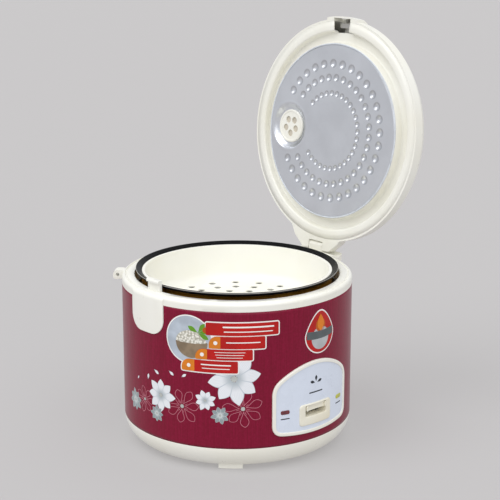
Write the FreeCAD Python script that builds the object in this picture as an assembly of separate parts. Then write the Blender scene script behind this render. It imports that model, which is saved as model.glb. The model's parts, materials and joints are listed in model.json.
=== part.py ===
"""Jar rice cooker with a hinged lid, inner pot and steamer basket.

Millimetres. +Z is up, and z = 0 is the surface that the four feet stand on. The pot's axis is
the Z axis. The lid's hinge is at +Y, its latch at -Y, and the control panel faces +X.
An azimuth is measured round Z from -Y towards +X, so the panel is near azimuth 90.
The lid is modelled closed and then swung open about its hinge axis.
"""
import FreeCAD, Part
import os
from math import cos, degrees, hypot, pi, radians, sin

V = FreeCAD.Vector
ALONG_X, ALONG_Y, UP = V(1, 0, 0), V(0, 1, 0), V(0, 0, 1)

# Inner pot and steamer basket
pot_radius = 106.1          # outside of the wall
pot_depth = 119.7           # outside, from the floor to the top of the flange
pot_wall = 1.5
pot_corner = 25.0           # outside radius between wall and floor
flange_overhang = 6.2
flange_drop = 3.4           # the flange falls inwards by this much
lip_height = 3.0
basket_depth = 43.0         # below the top of the pot's flange
basket_wall = 1.8
basket_corner = 10.0
basket_taper = 2.3
basket_flange = 1.4
basket_hole_radius = 4.0
basket_hole_rings = ((0.0, 1), (26.0, 8), (44.0, 12), (62.0, 18), (80.0, 18))

# Body shell
foot_height = 5.3
foot_width = 26.0
foot_length = 13.0
pad_height = 2.0
pad_stands_out = 0.6
base_height = 28.0          # floor to the lower edge of the coloured sleeve
base_inset = 12.5           # how much narrower the base is at its bottom
base_wall = 2.5
sleeve_wall = 0.8
jacket_gap = 15.2           # between the inner housing and the sleeve
ring_band = 9.45            # plain band above the sleeve
ring_wall = 2.2
ring_proud = 7.3            # pot flange above the top of the ring
lap = 8.0                   # how far the base and the ring reach behind the sleeve
tongue_width = 52.0
tongue_drop = 43.2          # below the top of the ring
tongue_proud = 1.2
tongue_corner = 17.0
lug_azimuth = -45.0
lug_reach = 10.3
lug_width = 13.0
lug_height = 10.3
lug_hole_radius = 2.0

# Heating parts and thermostat
housing_wall = 0.8
housing_gap = 5.1           # between pot wall and housing
housing_corner = 12.0
mechanism_height = 46.2     # free height between the base floor and the housing
plate_radius = 84.0
plate_thickness = 15.0
plate_leg_height = 5.2
element_radius = 58.0
element_tube = 3.5
sensor_radius = 18.0
sensor_travel = 3.0
guide_wall = 1.4
magnet_radius = 9.5
magnet_thickness = 4.0
rod_radius = 3.0
post_ring = 90.0            # radius of the circle that the base screws stand on
screw_radius = 1.6

# Cooking lever
lever_pivot_x = 68.0
lever_pivot_drop = 8.0      # below the housing
lever_throw = 5.2           # degrees
lever_sheet = 2.0
lever_pin_radius = 2.0
paddle_width = 27.8
paddle_height = 5.6

# Snap switch under the lever
switch_length = 20.0
switch_bottom = 22.0

# Control panel
panel_azimuth = 89.0
panel_half_width = 53.2
panel_bottom = 37.0
panel_side_top = 95.2
panel_top = 117.0
panel_border = 4.0
lever_bezel_width = 44.0
lever_bezel_height = 24.0
lever_bezel_bottom = 46.0
window_width = 29.2
window_height = 12.2
lamp_offset = 38.9          # along the sleeve, each side of the panel's middle
lamp_height = 65.5
lamp_width = 10.4
lamp_tall = 4.6

# Power inlet
inlet_azimuth = 270.0
inlet_height = 43.0
inlet_depth = 24.0
inlet_opening_width = 24.4
inlet_opening_height = 15.6

# Lid
lid_open_angle = 96.4
lid_wall = 2.2
lid_side = 10.7             # height of the upright side wall
lid_crown = 46.2            # rim to the top of the dome
lid_overhang = 0.3          # beyond the sleeve
liner_wall = 1.8
inner_plate_radius = 98.9
inner_plate_thickness = 1.0
inner_plate_drop = 3.0      # below the lid's rim
gasket_width = 2.0
vent_x, vent_y = -68.0, 2.0
vent_well_radius = 27.0
vent_disc_radius = 19.5
vent_tube_radius = 14.5
vent_hole_radius = 4.0
vent_hole_ring = 8.6
vent_cap_radius = 23.2
vent_cap_height = 8.2

# Hinge and latch
hinge_setback = 8.0         # axis behind the sleeve
hinge_rise = 5.3            # axis above the top of the ring
hinge_middle = -9.5         # the hinge block stands to one side of the pot's axis
hinge_pin_radius = 2.5
hinge_pin_half = 21.5
hinge_lug_radius = 4.4
neck_window_half = 11.5     # opening in the lid's neck that the body's lug stands in
neck_half = 35.5            # where the neck leaves the lid's rim
neck_end_half = 21.5
neck_length = 12.5          # beyond the sleeve
neck_height = 11.7
bracket_half = 33.0
spring_pocket = 8.0
hinge_spring_wire = 0.5
catch_half_width = 10.0
catch_height = 12.1
latch_travel = 2.4
nose_proud = 3.0
nose_half_width = 24.0

# Clearances
rim_clearance = 1.4         # pot flange to ring
fit = 0.1                   # still pieces that nest
running = 0.05              # radial, pin in bore
moving = 0.3                # pieces that pass each other
lid_gap = 0.6               # closed lid above the ring
basket_fit = 0.4
side_play = 0.7             # along the hinge and lever pins

# Worked out from the sizes above
floor_top = foot_height + base_wall
housing_bottom = floor_top + mechanism_height
pot_bottom = housing_bottom + housing_wall + plate_leg_height + plate_thickness + moving
plate_top = pot_bottom - moving
flange_top = pot_bottom + pot_depth
flange_radius = pot_radius + flange_overhang
pot_inside = pot_radius - pot_wall
housing_inside = pot_radius + housing_gap
housing_radius = housing_inside + housing_wall
body_radius = housing_radius + jacket_gap + sleeve_wall
ring_top = flange_top - ring_proud
sleeve_top = ring_top - ring_band
ring_inside = flange_radius + rim_clearance
housing_top = ring_top - 14.8
basket_radius = pot_inside - basket_fit
basket_inside = basket_radius - basket_wall
seat_radius = pot_radius - 0.1
basket_top = flange_top - flange_drop - 0.1
basket_bottom = flange_top - basket_depth - basket_wall
hinge_y = body_radius + hinge_setback
hinge_z = ring_top + hinge_rise
neck_end = body_radius + neck_length
lid_radius = body_radius + lid_overhang
lid_rim = ring_top + lid_gap
lid_inside = lid_radius - lid_wall
lid_top = lid_rim + lid_crown
lever_pivot_z = housing_bottom - lever_pivot_drop
lamp_spread = degrees(lamp_offset / body_radius)
arm_top = lever_pivot_z - 5.0
switch_x = lever_pivot_x + 19.0
arm_bottom = arm_top - lever_sheet
window_top = lever_bezel_bottom + lever_bezel_height - 1.9
window_bottom = window_top - window_height


def box(x0, x1, y0, y1, z0, z1):
    return Part.makeBox(x1 - x0, y1 - y0, z1 - z0, V(x0, y0, z0))


def rod(radius, z0, z1, x=0.0, y=0.0):
    return Part.makeCylinder(radius, z1 - z0, V(x, y, z0))


def rod_y(radius, y0, y1, x, z):
    return Part.makeCylinder(radius, y1 - y0, V(x, y0, z), ALONG_Y)


def rod_x(radius, x0, x1, y, z):
    return Part.makeCylinder(radius, x1 - x0, V(x0, y, z), ALONG_X)


def tube(inside, outside, z0, z1, x=0.0, y=0.0):
    return rod(outside, z0, z1, x, y).cut(rod(inside, z0 - 1, z1 + 1, x, y))


def bend(centre_r, centre_z, radius, start, end):
    """Middle and end of an arc about a centre, from one angle to another in degrees."""
    middle = radians((start + end) / 2)
    last = radians(end)
    return (centre_r + radius * cos(middle), centre_z + radius * sin(middle),
            centre_r + radius * cos(last), centre_z + radius * sin(last))


def outline(steps, point):
    """Closed wire: a pair is a corner, four numbers are an arc's middle and end."""
    edges = []
    here = point(*steps[0])
    first = here
    for step in steps[1:]:
        there = point(*step[-2:])
        if there.distanceToPoint(here) < 1e-6:
            continue
        if len(step) == 2:
            edges.append(Part.makeLine(here, there))
        else:
            edges.append(Part.Arc(here, point(*step[:2]), there).toShape())
        here = there
    if here.distanceToPoint(first) > 1e-6:
        edges.append(Part.makeLine(here, first))
    return Part.Face(Part.Wire(edges))


def turned(steps, x=0.0, y=0.0):
    """Solid of revolution about a vertical axis, from steps in (radius, z)."""
    face = outline(steps, lambda r, z: V(x + r, y, z))
    return face.revolve(V(x, y, 0), UP, 360)


def side_profile(steps, x0, x1):
    """Solid with an outline in (y, z), running along X."""
    face = outline(steps, lambda y, z: V(x0, y, z))
    return face.extrude(V(x1 - x0, 0, 0))


def plan_profile(steps, z0, z1):
    """Solid with an outline in (x, y), running up Z."""
    face = outline(steps, lambda x, y: V(x, y, z0))
    return face.extrude(V(0, 0, z1 - z0))


def radial_profile(steps, half_width):
    """Solid with an outline in (radius, z) on the +X side, running across Y."""
    face = outline(steps, lambda r, z: V(r, -half_width, z))
    return face.extrude(V(0, 2 * half_width, 0))


def soften(shape, radius, axis):
    """Round every straight edge that runs along an axis."""
    edges = []
    for edge in shape.Edges:
        if isinstance(edge.Curve, Part.Line):
            if edge.tangentAt(edge.FirstParameter).cross(axis).Length < 1e-6:
                edges.append(edge)
    return shape.makeFillet(radius, edges)


def at_azimuth(shape, azimuth):
    """A piece built on the +X side, moved round to an azimuth."""
    moved = shape.copy()
    moved.rotate(V(0, 0, 0), UP, azimuth - 90)
    return moved


def wall_patch(prism, inside, outside):
    """The part of a prism along X that lies in a cylindrical wall."""
    low, high = prism.BoundBox.ZMin - 1, prism.BoundBox.ZMax + 1
    return tube(inside, outside, low, high).common(prism)


def rounded_prism(half_width, z0, z1, radius, x0=60.0, x1=None):
    x1 = body_radius + 40 if x1 is None else x1
    return soften(box(x0, x1, -half_width, half_width, z0, z1), radius, ALONG_X)


def coil(mean_radius, wire_radius, z0, z1, turns, x=0.0, y=0.0):
    """Round-wire compression spring between two heights."""
    pitch = (z1 - z0 - 2 * wire_radius) / turns
    path = Part.makeHelix(pitch, pitch * turns, mean_radius)
    path.translate(V(x, y, z0 + wire_radius))
    start = V(x + mean_radius, y, z0 + wire_radius)
    slope = V(0, 2 * pi * mean_radius, pitch)
    section = Part.Wire(Part.makeCircle(wire_radius, start, slope))
    return Part.Wire(path.Edges).makePipeShell([section], True, True)


def opened(shape):
    """A lid piece, swung from closed to the open stop."""
    moved = shape.copy()
    moved.rotate(V(0, hinge_y, hinge_z), ALONG_X, -lid_open_angle)
    return moved


def post_places():
    return [(post_ring * cos(radians(a)), post_ring * sin(radians(a))) for a in (45, 135, 225, 315)]


# Pot and basket

def inner_pot():
    """Drawn pot whose flange rises outwards to a blunt lip, with a seat for the basket."""
    low, top = pot_bottom, flange_top
    lip_low = top - lip_height
    ledge = basket_top - basket_flange - moving
    centre = pot_radius - pot_corner
    return turned([
        (0, low), (centre, low),
        bend(centre, low + pot_corner, pot_corner, -90, 0),
        (pot_radius, ledge - lip_height),
        (flange_radius - pot_wall, lip_low), (flange_radius, lip_low), (flange_radius, top - 1),
        bend(flange_radius - 1, top - 1, 1, 0, 90),
        (seat_radius, top - flange_drop), (seat_radius, ledge), (pot_inside, ledge),
        (pot_inside, low + pot_corner),
        bend(centre, low + pot_corner, pot_corner - pot_wall, 0, -90),
        (0, low + pot_wall),
    ])


def steamer_basket():
    low, top = basket_bottom, basket_top
    foot = basket_radius - basket_taper
    centre = foot - basket_corner
    flange_low = top - basket_flange
    inner_corner = basket_corner - basket_wall
    body = turned([
        (0, low), (centre, low),
        bend(centre, low + basket_corner, basket_corner, -90, 0),
        (basket_radius, flange_low), (seat_radius - moving, flange_low),
        (seat_radius - moving, top), (basket_inside, top),
        (foot - basket_wall, low + basket_corner),
        bend(centre, low + basket_corner, inner_corner, 0, -90),
        (0, low + basket_wall),
    ])
    holes = []
    for ring_radius, count in basket_hole_rings:
        for k in range(count):
            turn = 2 * pi * k / count
            holes.append(rod(basket_hole_radius, low - 1, low + basket_wall + 1,
                             ring_radius * cos(turn), ring_radius * sin(turn)))
    return body.cut(Part.makeCompound(holes))


# Body shell

def outer_sleeve():
    sleeve = tube(body_radius - sleeve_wall, body_radius, base_height, sleeve_top)
    margin = 1.4
    window = rounded_prism(window_width / 2 + 2 * margin, window_bottom - 2 * margin,
                           window_top + 2 * margin, 2)
    lamp_half = lamp_tall / 2 + moving
    lamp = rounded_prism(lamp_width / 2 + moving, lamp_height - lamp_half,
                         lamp_height + lamp_half, 1.5)
    inlet = rounded_prism(inlet_opening_width / 2 + 3.3, inlet_height - 11, inlet_height + 11, 2)
    return sleeve.cut([
        at_azimuth(window, panel_azimuth),
        at_azimuth(lamp, panel_azimuth - lamp_spread),
        at_azimuth(lamp, panel_azimuth + lamp_spread),
        at_azimuth(inlet, inlet_azimuth),
    ])


def ring_profile():
    """Hollow ring with a collar round the pot and a skirt behind the sleeve."""
    top, edge = ring_top, body_radius
    collar = ring_inside + ring_wall
    skirt = edge - sleeve_wall - fit
    skirt_inside = skirt - ring_wall
    ledge_top = housing_top - housing_wall
    under = top - ring_wall - 0.6
    return turned([
        (edge, sleeve_top + fit), (edge, top - 4.4),
        (edge - 0.8, top - 1.5, edge - 3.4, top - 0.1),
        (edge - 3.9, top - 1.5), (edge - 5.2, top - 1.5), (edge - 5.9, top - 0.2),
        (ring_inside + 1.2, top),
        bend(ring_inside + 1.2, top - 1.2, 1.2, 90, 180),
        (ring_inside, ledge_top), (housing_radius + 0.3, ledge_top),
        (housing_radius + 0.3, ledge_top - ring_wall), (collar, ledge_top - ring_wall),
        (collar, under), (skirt_inside, under), (skirt_inside, sleeve_top - lap),
        (skirt, sleeve_top - lap), (skirt, sleeve_top + fit),
    ])


def ring_tongue():
    """Smooth tab that hangs from the ring over the sleeve, under the latch."""
    low = ring_top - tongue_drop
    outside = body_radius + tongue_proud
    prism = rounded_prism(tongue_width / 2, low, ring_top + 30, tongue_corner)
    tab = wall_patch(prism, body_radius + fit, outside)
    root = wall_patch(prism, body_radius - ring_wall, outside)
    chamfer = turned([(0, ring_top), (outside - 4.4, ring_top - 0.6),
                      (outside - 1.0, ring_top - 2.4, outside, ring_top - 5.4),
                      (outside, low - 1), (0, low - 1)])
    band = tube(1, outside + 1, sleeve_top + fit, ring_top + 1)
    below = tube(1, outside + 1, low - 1, sleeve_top + fit)
    return at_azimuth(tab.common(below).fuse(root.common(band)).common(chamfer), 0)


def ring_lug():
    """Ear on the side of the ring, with a cross hole for a paddle holder."""
    reach = body_radius + lug_reach
    top = ring_top + lid_gap - moving
    ear = radial_profile([
        (body_radius - 5, ring_top - 3), (body_radius - 3, top - 0.8),
        (body_radius, top), (reach - 4.2, top),
        (reach - 0.9, top - 1.8, reach, top - lug_height / 2),
        (reach - 0.8, top - lug_height + 1.2, reach - 3.4, top - lug_height),
        (body_radius - 2, top - lug_height + 1), (body_radius - 5, ring_top - 7),
    ], lug_width / 2)
    hole_r, hole_z = body_radius + 5.2, ring_top - 4.5
    ear = ear.cut(rod_y(lug_hole_radius, -lug_width, lug_width, hole_r, hole_z))
    return at_azimuth(ear, lug_azimuth)


def hinge_bracket():
    """Block behind the ring, hollowed for the lid's neck, with a lug that holds the pin."""
    low = ring_top - ring_band + 0.4
    back = neck_end + 3.0
    middle = hinge_middle
    swing = hypot(neck_end - hinge_y, lid_rim + neck_height - hinge_z)
    block = box(middle - bracket_half, middle + bracket_half, body_radius - 16, back, low,
                ring_top)
    block = soften(block, 2, UP).cut([
        rod(body_radius - 2.1, low - 1, ring_top + 1),
        rod_x(swing + 0.5, middle - neck_half - 5, middle + neck_half + 5, hinge_y, hinge_z),
    ])
    half, r = neck_window_half - side_play, hinge_lug_radius
    x0, x1 = middle - half, middle + half
    lug = rod_x(r, x0, x1, hinge_y, hinge_z)
    post = box(x0, x1, hinge_y - r, hinge_y + r - 0.1, low, hinge_z)
    bore = rod_x(hinge_pin_radius + running, x0 - 1, x1 + 1, hinge_y, hinge_z)
    return block.fuse([lug, post]).cut(bore)


def upper_ring():
    ring = ring_profile().fuse([ring_tongue(), ring_lug(), hinge_bracket()])
    return ring.removeSplitter()


def latch_catch():
    """Hook that stands on the ring and holds the lid's bolt."""
    nose = 2.3
    stem = body_radius - 10.5
    profile = [
        (-ring_inside - 0.3, ring_top), (-stem, ring_top),
        (-stem, ring_top + catch_height - 3.2),
        (-stem - nose, ring_top + catch_height - 3.2),
        (-stem - nose, ring_top + catch_height - 1.2),
        (-stem - nose + 1.2, ring_top + catch_height),
        (-ring_inside - 0.3, ring_top + catch_height),
    ]
    hook = side_profile(profile, -catch_half_width, catch_half_width)
    slot = box(-0.6, 0.6, -stem + 1.2, -ring_inside, ring_top + 2, ring_top + catch_height + 1)
    return soften(hook.cut(slot), 0.4, UP)


def base_cover():
    edge, low, top = body_radius, foot_height, base_height
    foot_edge = edge - base_inset
    skirt = edge - sleeve_wall - fit
    shell = turned([
        (0, low), (foot_edge, low),
        (edge - 3.9, low + 8.9, edge, top - 2), (edge, top - fit),
        (skirt, top - fit), (skirt, top + lap), (skirt - ring_wall, top + lap),
        (skirt - ring_wall, top - 1.5),
        (edge - 6.6, low + 10.1, foot_edge - 2, floor_top), (0, floor_top),
    ])
    feet, recesses, posts, holes = [], [], [], []
    outer = foot_edge + 0.5
    for azimuth in (-45, 45, 135, 225):
        foot = box(outer - foot_length, outer + 5, -foot_width / 2, foot_width / 2,
                   pad_stands_out, low + 1)
        feet.append(at_azimuth(soften(foot, 2, UP).common(rod(outer, -1, low + 2)), azimuth))
        recesses.append(at_azimuth(pad_box(fit).common(rod(outer, -1, low)), azimuth))
    for x, y in post_places():
        posts.append(rod(6.5, low + 1, housing_bottom - fit, x, y))
        holes.append(rod(screw_radius + fit, low - 1, housing_bottom + 1, x, y))
        holes.append(rod(4.4, low - 1, 30, x, y))
    for k in range(12):
        slot = box(38, 66, -2, 2, low - 1, floor_top + 1)
        slot.rotate(V(0, 0, 0), UP, 30 * k + 15)
        holes.append(slot)
    pillar = box(switch_x, switch_x + switch_length, -4.5, 4.5, low + 1, switch_bottom)
    shell = shell.fuse(feet + posts + [at_azimuth(pillar, panel_azimuth)])
    notch = box(skirt - 5, edge + 1, -15.5, 15.5, inlet_height - 11, top + lap + 1)
    holes.append(at_azimuth(notch, inlet_azimuth))
    return shell.cut(recesses + holes).removeSplitter()


def pad_box(grow=0.0):
    outer = body_radius - base_inset + 0.5
    return box(outer - 10.5 - grow, outer - 2.5 + grow, -9 - grow, 9 + grow, 0.0, pad_height + grow)


def foot_pads():
    pads = [at_azimuth(soften(pad_box(), 1.5, UP), azimuth) for azimuth in (-45, 45, 135, 225)]
    return Part.makeCompound(pads)


def base_screws():
    screws = []
    for x, y in post_places():
        head = rod(3.6, 26.8, 30, x, y).cut(box(x - 2.5, x + 2.5, y - 0.4, y + 0.4, 26, 28))
        screws.append(head.fuse(rod(screw_radius, 29, housing_bottom + 2.2, x, y)))
    return Part.makeCompound(screws)


# Heating parts

def inner_housing():
    low, c, wall = housing_bottom, housing_corner, housing_wall
    outside, inside, top = housing_radius, housing_inside, housing_top
    centre = outside - c
    eye = guide_radius() + moving
    pan = turned([
        (eye, low), (centre, low), bend(centre, low + c, c, -90, 0),
        (outside, top - wall), (outside + 1.4, top - wall), (outside + 1.4, top),
        (inside, top), (inside, low + c), bend(centre, low + c, c - wall, 0, -90),
        (eye, low + wall),
    ])
    holes = [rod(screw_radius + fit, low - 1, low + 2, x, y) for x, y in post_places()]
    for x, y in element_ends():
        holes.append(rod(4.2, low - 1, low + 2, x, y))
    return pan.cut(holes)


def heating_plate():
    top, low = plate_top, plate_top - plate_thickness
    channel = element_tube + 0.5
    deep = low + 10.5
    disc = turned([
        (sensor_radius + 0.5, low), (element_radius - channel, low),
        (element_radius - channel, deep), (element_radius + channel, deep),
        (element_radius + channel, low), (plate_radius - 6, low),
        (plate_radius - 2.5, low + 3), (plate_radius, low + 8), (plate_radius, top - 3),
        bend(plate_radius - 3, top - 3, 3, 0, 90), (sensor_radius + 1.5, top),
        (sensor_radius + 0.5, top - 1),
    ])
    legs = []
    for k in range(3):
        turn = radians(120 * k + 60)
        legs.append(rod(5, housing_bottom + housing_wall, low + 1,
                        74 * cos(turn), 74 * sin(turn)))
    return disc.fuse(legs)


def element_ends():
    ends = []
    for turn in (radians(165), radians(195)):
        ends.append((element_radius * cos(turn), element_radius * sin(turn)))
    return ends


def heating_element():
    """Sheathed tube in the plate's channel, with two ends down through the pan."""
    height = plate_top - plate_thickness + 5.5
    loop = Part.makeTorus(element_radius, element_tube, V(0, 0, height), UP, -180, 180, 330)
    loop.rotate(V(0, 0, 0), UP, -165)
    tails = [rod(2.4, housing_bottom - 8, height, x, y) for x, y in element_ends()]
    return loop.fuse(tails)


def sensor_cap():
    """Sprung cup that feels the pot's floor, with the ferrite under its top."""
    low, top, r = plate_top - 16.3, plate_top, sensor_radius
    return turned([
        (0, top - 4), (r - 1.5, top - 4), (r - 1.5, top - 1.4), (r - 1, top - 1.4),
        (r - 1, low), (r + 1.4, low), (r + 1.4, low + 1), (r, low + 1), (r, top - 1),
        bend(r - 1, top - 1, 1, 0, 90), (0, top),
    ])


def guide_radius():
    return sensor_radius + 1.8 + guide_wall


def sensor_guide():
    low, top, outside = housing_bottom - 2, plate_top - plate_thickness, guide_radius()
    inside, eye = outside - guide_wall, magnet_radius + 2.5
    return turned([
        (eye, low), (outside, low), (outside, top), (inside, top), (inside, low + 1.5),
        (eye, low + 1.5),
    ])


def sensor_spring():
    return coil(14.2, 0.6, housing_bottom - 0.4, plate_top - 4.2, 5)


def magnet_rod():
    """Magnet on a rod, with two collars that the lever's fork lifts."""
    top = plate_top - 4 - sensor_travel - 0.4 - lever_lift()
    low = arm_bottom - 5
    middle = (arm_top + arm_bottom) / 2
    gap = 2.0
    return rod(magnet_radius, top - magnet_thickness, top).fuse([
        rod(rod_radius, low, top - 1),
        rod(5.5, middle - gap - 1.5, middle - gap),
        rod(5.5, middle + gap, middle + gap + 1.5),
    ])


def lever_lift():
    """How far the lever's fork lifts the magnet rod."""
    return lever_pivot_x * radians(lever_throw)


def warm_band():
    """Flat keep-warm heater wrapped round the housing."""
    inside = housing_radius + fit
    middle = (housing_bottom + housing_top) / 2
    band = tube(inside, inside + 0.8, middle - 12, middle + 12)
    gap = box(-inside - 5, -inside + 20, -8, 8, middle - 13, middle + 13)
    return band.cut(gap)


def thermal_fuse():
    top = housing_bottom - 0.2
    barrel = rod_y(2.6, -16, 16, -36, top - 2.6)
    leads = rod_y(0.6, -24, 24, -36, top - 2.6)
    return barrel.fuse(leads)


def terminal_block():
    x0, y0 = -74.0, 6.0
    block = box(x0, x0 + 14, y0, y0 + 40, floor_top, floor_top + 13)
    holes = []
    for k in range(4):
        holes.append(rod(2.2, floor_top + 5, floor_top + 14, x0 + 7, y0 + 5 + 10 * k))
    return soften(block, 1, UP).cut(holes)


# Lever and switch

def cook_lever():
    r = body_radius
    middle = (window_top - 0.5) - paddle_height / 2
    paddle = box(r - 3.5, r + 3, -paddle_width / 2, paddle_width / 2,
                 middle - paddle_height / 2, middle + paddle_height / 2)
    scoop = rod_y(9, -paddle_width / 2 + 1.6, paddle_width / 2 - 1.6, r + 9.6, middle)
    paddle = soften(paddle, 1.2, ALONG_X).cut(scoop)
    leg_x = housing_radius + 1.6
    leg_half = 6.0
    neck = box(leg_x, r - 3, -leg_half, leg_half, middle - 1.4, middle + 1.4)
    leg = box(leg_x, leg_x + 3, -leg_half, leg_half, arm_bottom, middle + 1.4)
    arm = box(-7, leg_x + 1, -leg_half, leg_half, arm_bottom, arm_top)
    slot_half = rod_radius + 1
    fork = box(-8, 0, -slot_half, slot_half, arm_bottom - 1, arm_top + 1)
    fork = fork.fuse(rod(slot_half, arm_bottom - 1, arm_top + 1))
    px, pz = lever_pivot_x, lever_pivot_z
    boss = rod_y(4, -leg_half, leg_half, px, pz)
    boss = boss.fuse(box(px - 4, px + 4, -leg_half, leg_half, arm_top - 0.5, pz))
    bore = rod_y(lever_pin_radius + running, -leg_half - 1, leg_half + 1, px, pz)
    lever = paddle.fuse([neck, leg, arm.cut(fork), boss]).cut(bore).removeSplitter()
    return at_azimuth(lever, panel_azimuth)


def bracket_cheek():
    return 6.0 + side_play


def lever_bracket():
    """Sheet bracket under the housing that carries the lever's pin."""
    px, pz, sheet = lever_pivot_x, lever_pivot_z, 1.2
    inside = bracket_cheek()
    top = housing_bottom
    web = box(px - 12, px + 12, -inside - sheet, inside + sheet, top - sheet, top)
    cheeks = []
    for side in (-1, 1):
        y0, y1 = sorted((side * inside, side * (inside + sheet)))
        cheeks.append(box(px - 7, px + 7, y0, y1, pz - 6, top))
    solid = web.fuse(cheeks)
    solid = solid.cut(rod_y(lever_pin_radius + running, -20, 20, px, pz))
    return at_azimuth(solid, panel_azimuth)


def lever_pin():
    half = bracket_cheek() + 2.4
    pin = rod_y(lever_pin_radius, -half, half, lever_pivot_x, lever_pivot_z)
    return at_azimuth(pin, panel_azimuth)


def microswitch():
    """Snap switch on a pillar of the base, worked by the lever's arm."""
    top = arm_bottom - 4.2
    body = soften(box(switch_x, switch_x + switch_length, -4.5, 4.5, switch_bottom, top),
                  0.8, ALONG_Y)
    body = body.fuse(rod(1.5, top - 0.5, top + 1.0, switch_x + switch_length / 2, 0))
    return at_azimuth(body, panel_azimuth)


# Control panel

def panel_prism(inset):
    """Arched panel outline, drawn in by an inset, as a prism along X."""
    half = panel_half_width - inset
    low, side = panel_bottom + inset, panel_side_top - inset
    edge_low = low + 3.4
    rise = panel_top - inset
    face = outline([
        (-half, edge_low), (0, low, half, edge_low), (half, side), (0, rise, -half, side),
    ], lambda y, z: V(60, y, z))
    prism = face.extrude(V(body_radius, 0, 0))
    return soften(prism, 10 - inset / 2, ALONG_X)


def lever_frame_prism(grow):
    low = lever_bezel_bottom
    return rounded_prism(lever_bezel_width / 2 + grow, low - grow,
                         low + lever_bezel_height + grow, 4 + grow)


def lamp_prism(grow):
    half = lamp_tall / 2 + grow
    return rounded_prism(lamp_width / 2 + grow, lamp_height - half, lamp_height + half, half * 0.95)


def panel_bezel():
    border = panel_prism(0).cut(panel_prism(panel_border))
    return at_azimuth(wall_patch(border, body_radius + fit, body_radius + 2.6), panel_azimuth)


def panel_face():
    sheet = wall_patch(panel_prism(panel_border + fit), body_radius + fit, body_radius + 1.6)
    lamp = lamp_prism(fit)
    sheet = sheet.cut([lever_frame_prism(fit), at_azimuth(lamp, 90 - lamp_spread),
                       at_azimuth(lamp, 90 + lamp_spread)])
    return at_azimuth(sheet, panel_azimuth)


def lever_bezel():
    r = body_radius
    opening = rounded_prism(window_width / 2, window_bottom, window_top, 1.5)
    frame = wall_patch(lever_frame_prism(0), r + fit, r + 3.0)
    half = window_width / 2 + 1.3
    funnel = rounded_prism(half, window_bottom - 1.3, window_top + 1.3, 2, r - 10, r + 1)
    scoop = rod_y(26, -window_width / 2, window_width / 2, r + 27.2, window_bottom - 4.2)
    scoop = scoop.common(box(r - 1, r + 9, -60, 60, lever_bezel_bottom + 1.5, window_bottom + 1))
    solid = frame.fuse(funnel).cut([opening, scoop])
    return at_azimuth(solid, panel_azimuth)


def lamp_lens(side):
    lens = wall_patch(lamp_prism(0), body_radius - 8, body_radius + 2.4)
    return at_azimuth(lens, panel_azimuth + side * lamp_spread)


# Power inlet

def inlet_socket():
    r, z = body_radius, inlet_height
    flange = wall_patch(rounded_prism(21, z - 13.8, z + 13.8, 3), r + fit, r + 2.2)
    half_w, half_h = inlet_opening_width / 2, inlet_opening_height / 2
    body = box(r - inlet_depth, r + 1, -half_w - 2.3, half_w + 2.3, z - 10, z + 10)
    cavity = soften(box(r - inlet_depth + 5, r + 5, -half_w, half_w, z - half_h, z + half_h),
                    3, ALONG_X)
    solid = flange.fuse(soften(body, 2, ALONG_X)).cut([cavity] + inlet_pin_boxes(fit))
    return at_azimuth(solid, inlet_azimuth)


def inlet_pin_boxes(grow):
    r, z = body_radius, inlet_height
    pins = []
    for y, dz in ((-7, -1.5), (0, 2.5), (7, -1.5)):
        pins.append(box(r - inlet_depth - 6, r - 5.5, y - 1 - grow, y + 1 + grow,
                        z + dz - 2 - grow, z + dz + 2 + grow))
    return pins


def inlet_pins():
    return Part.makeCompound([at_azimuth(pin, inlet_azimuth) for pin in inlet_pin_boxes(0)])


# Lid, modelled closed

def dome_steps(shrink):
    """Outside of the lid from rim to crown, drawn in by a wall."""
    r, low, top = lid_radius - shrink, lid_rim, lid_top - shrink
    side = low + lid_side
    slope = shrink * 0.7
    return [
        (r, low), (r, side), (r - 6.2, side + 9.6 - slope / 2, r - 15.3, side + 19.5 - slope),
        (60 - slope, top - 4, 0, top),
    ]


def dome_solid(shrink=0.0, lower=0.0):
    solid = turned(dome_steps(shrink) + [(0, lid_rim)])
    solid.translate(V(0, 0, -lower))
    return solid


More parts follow.
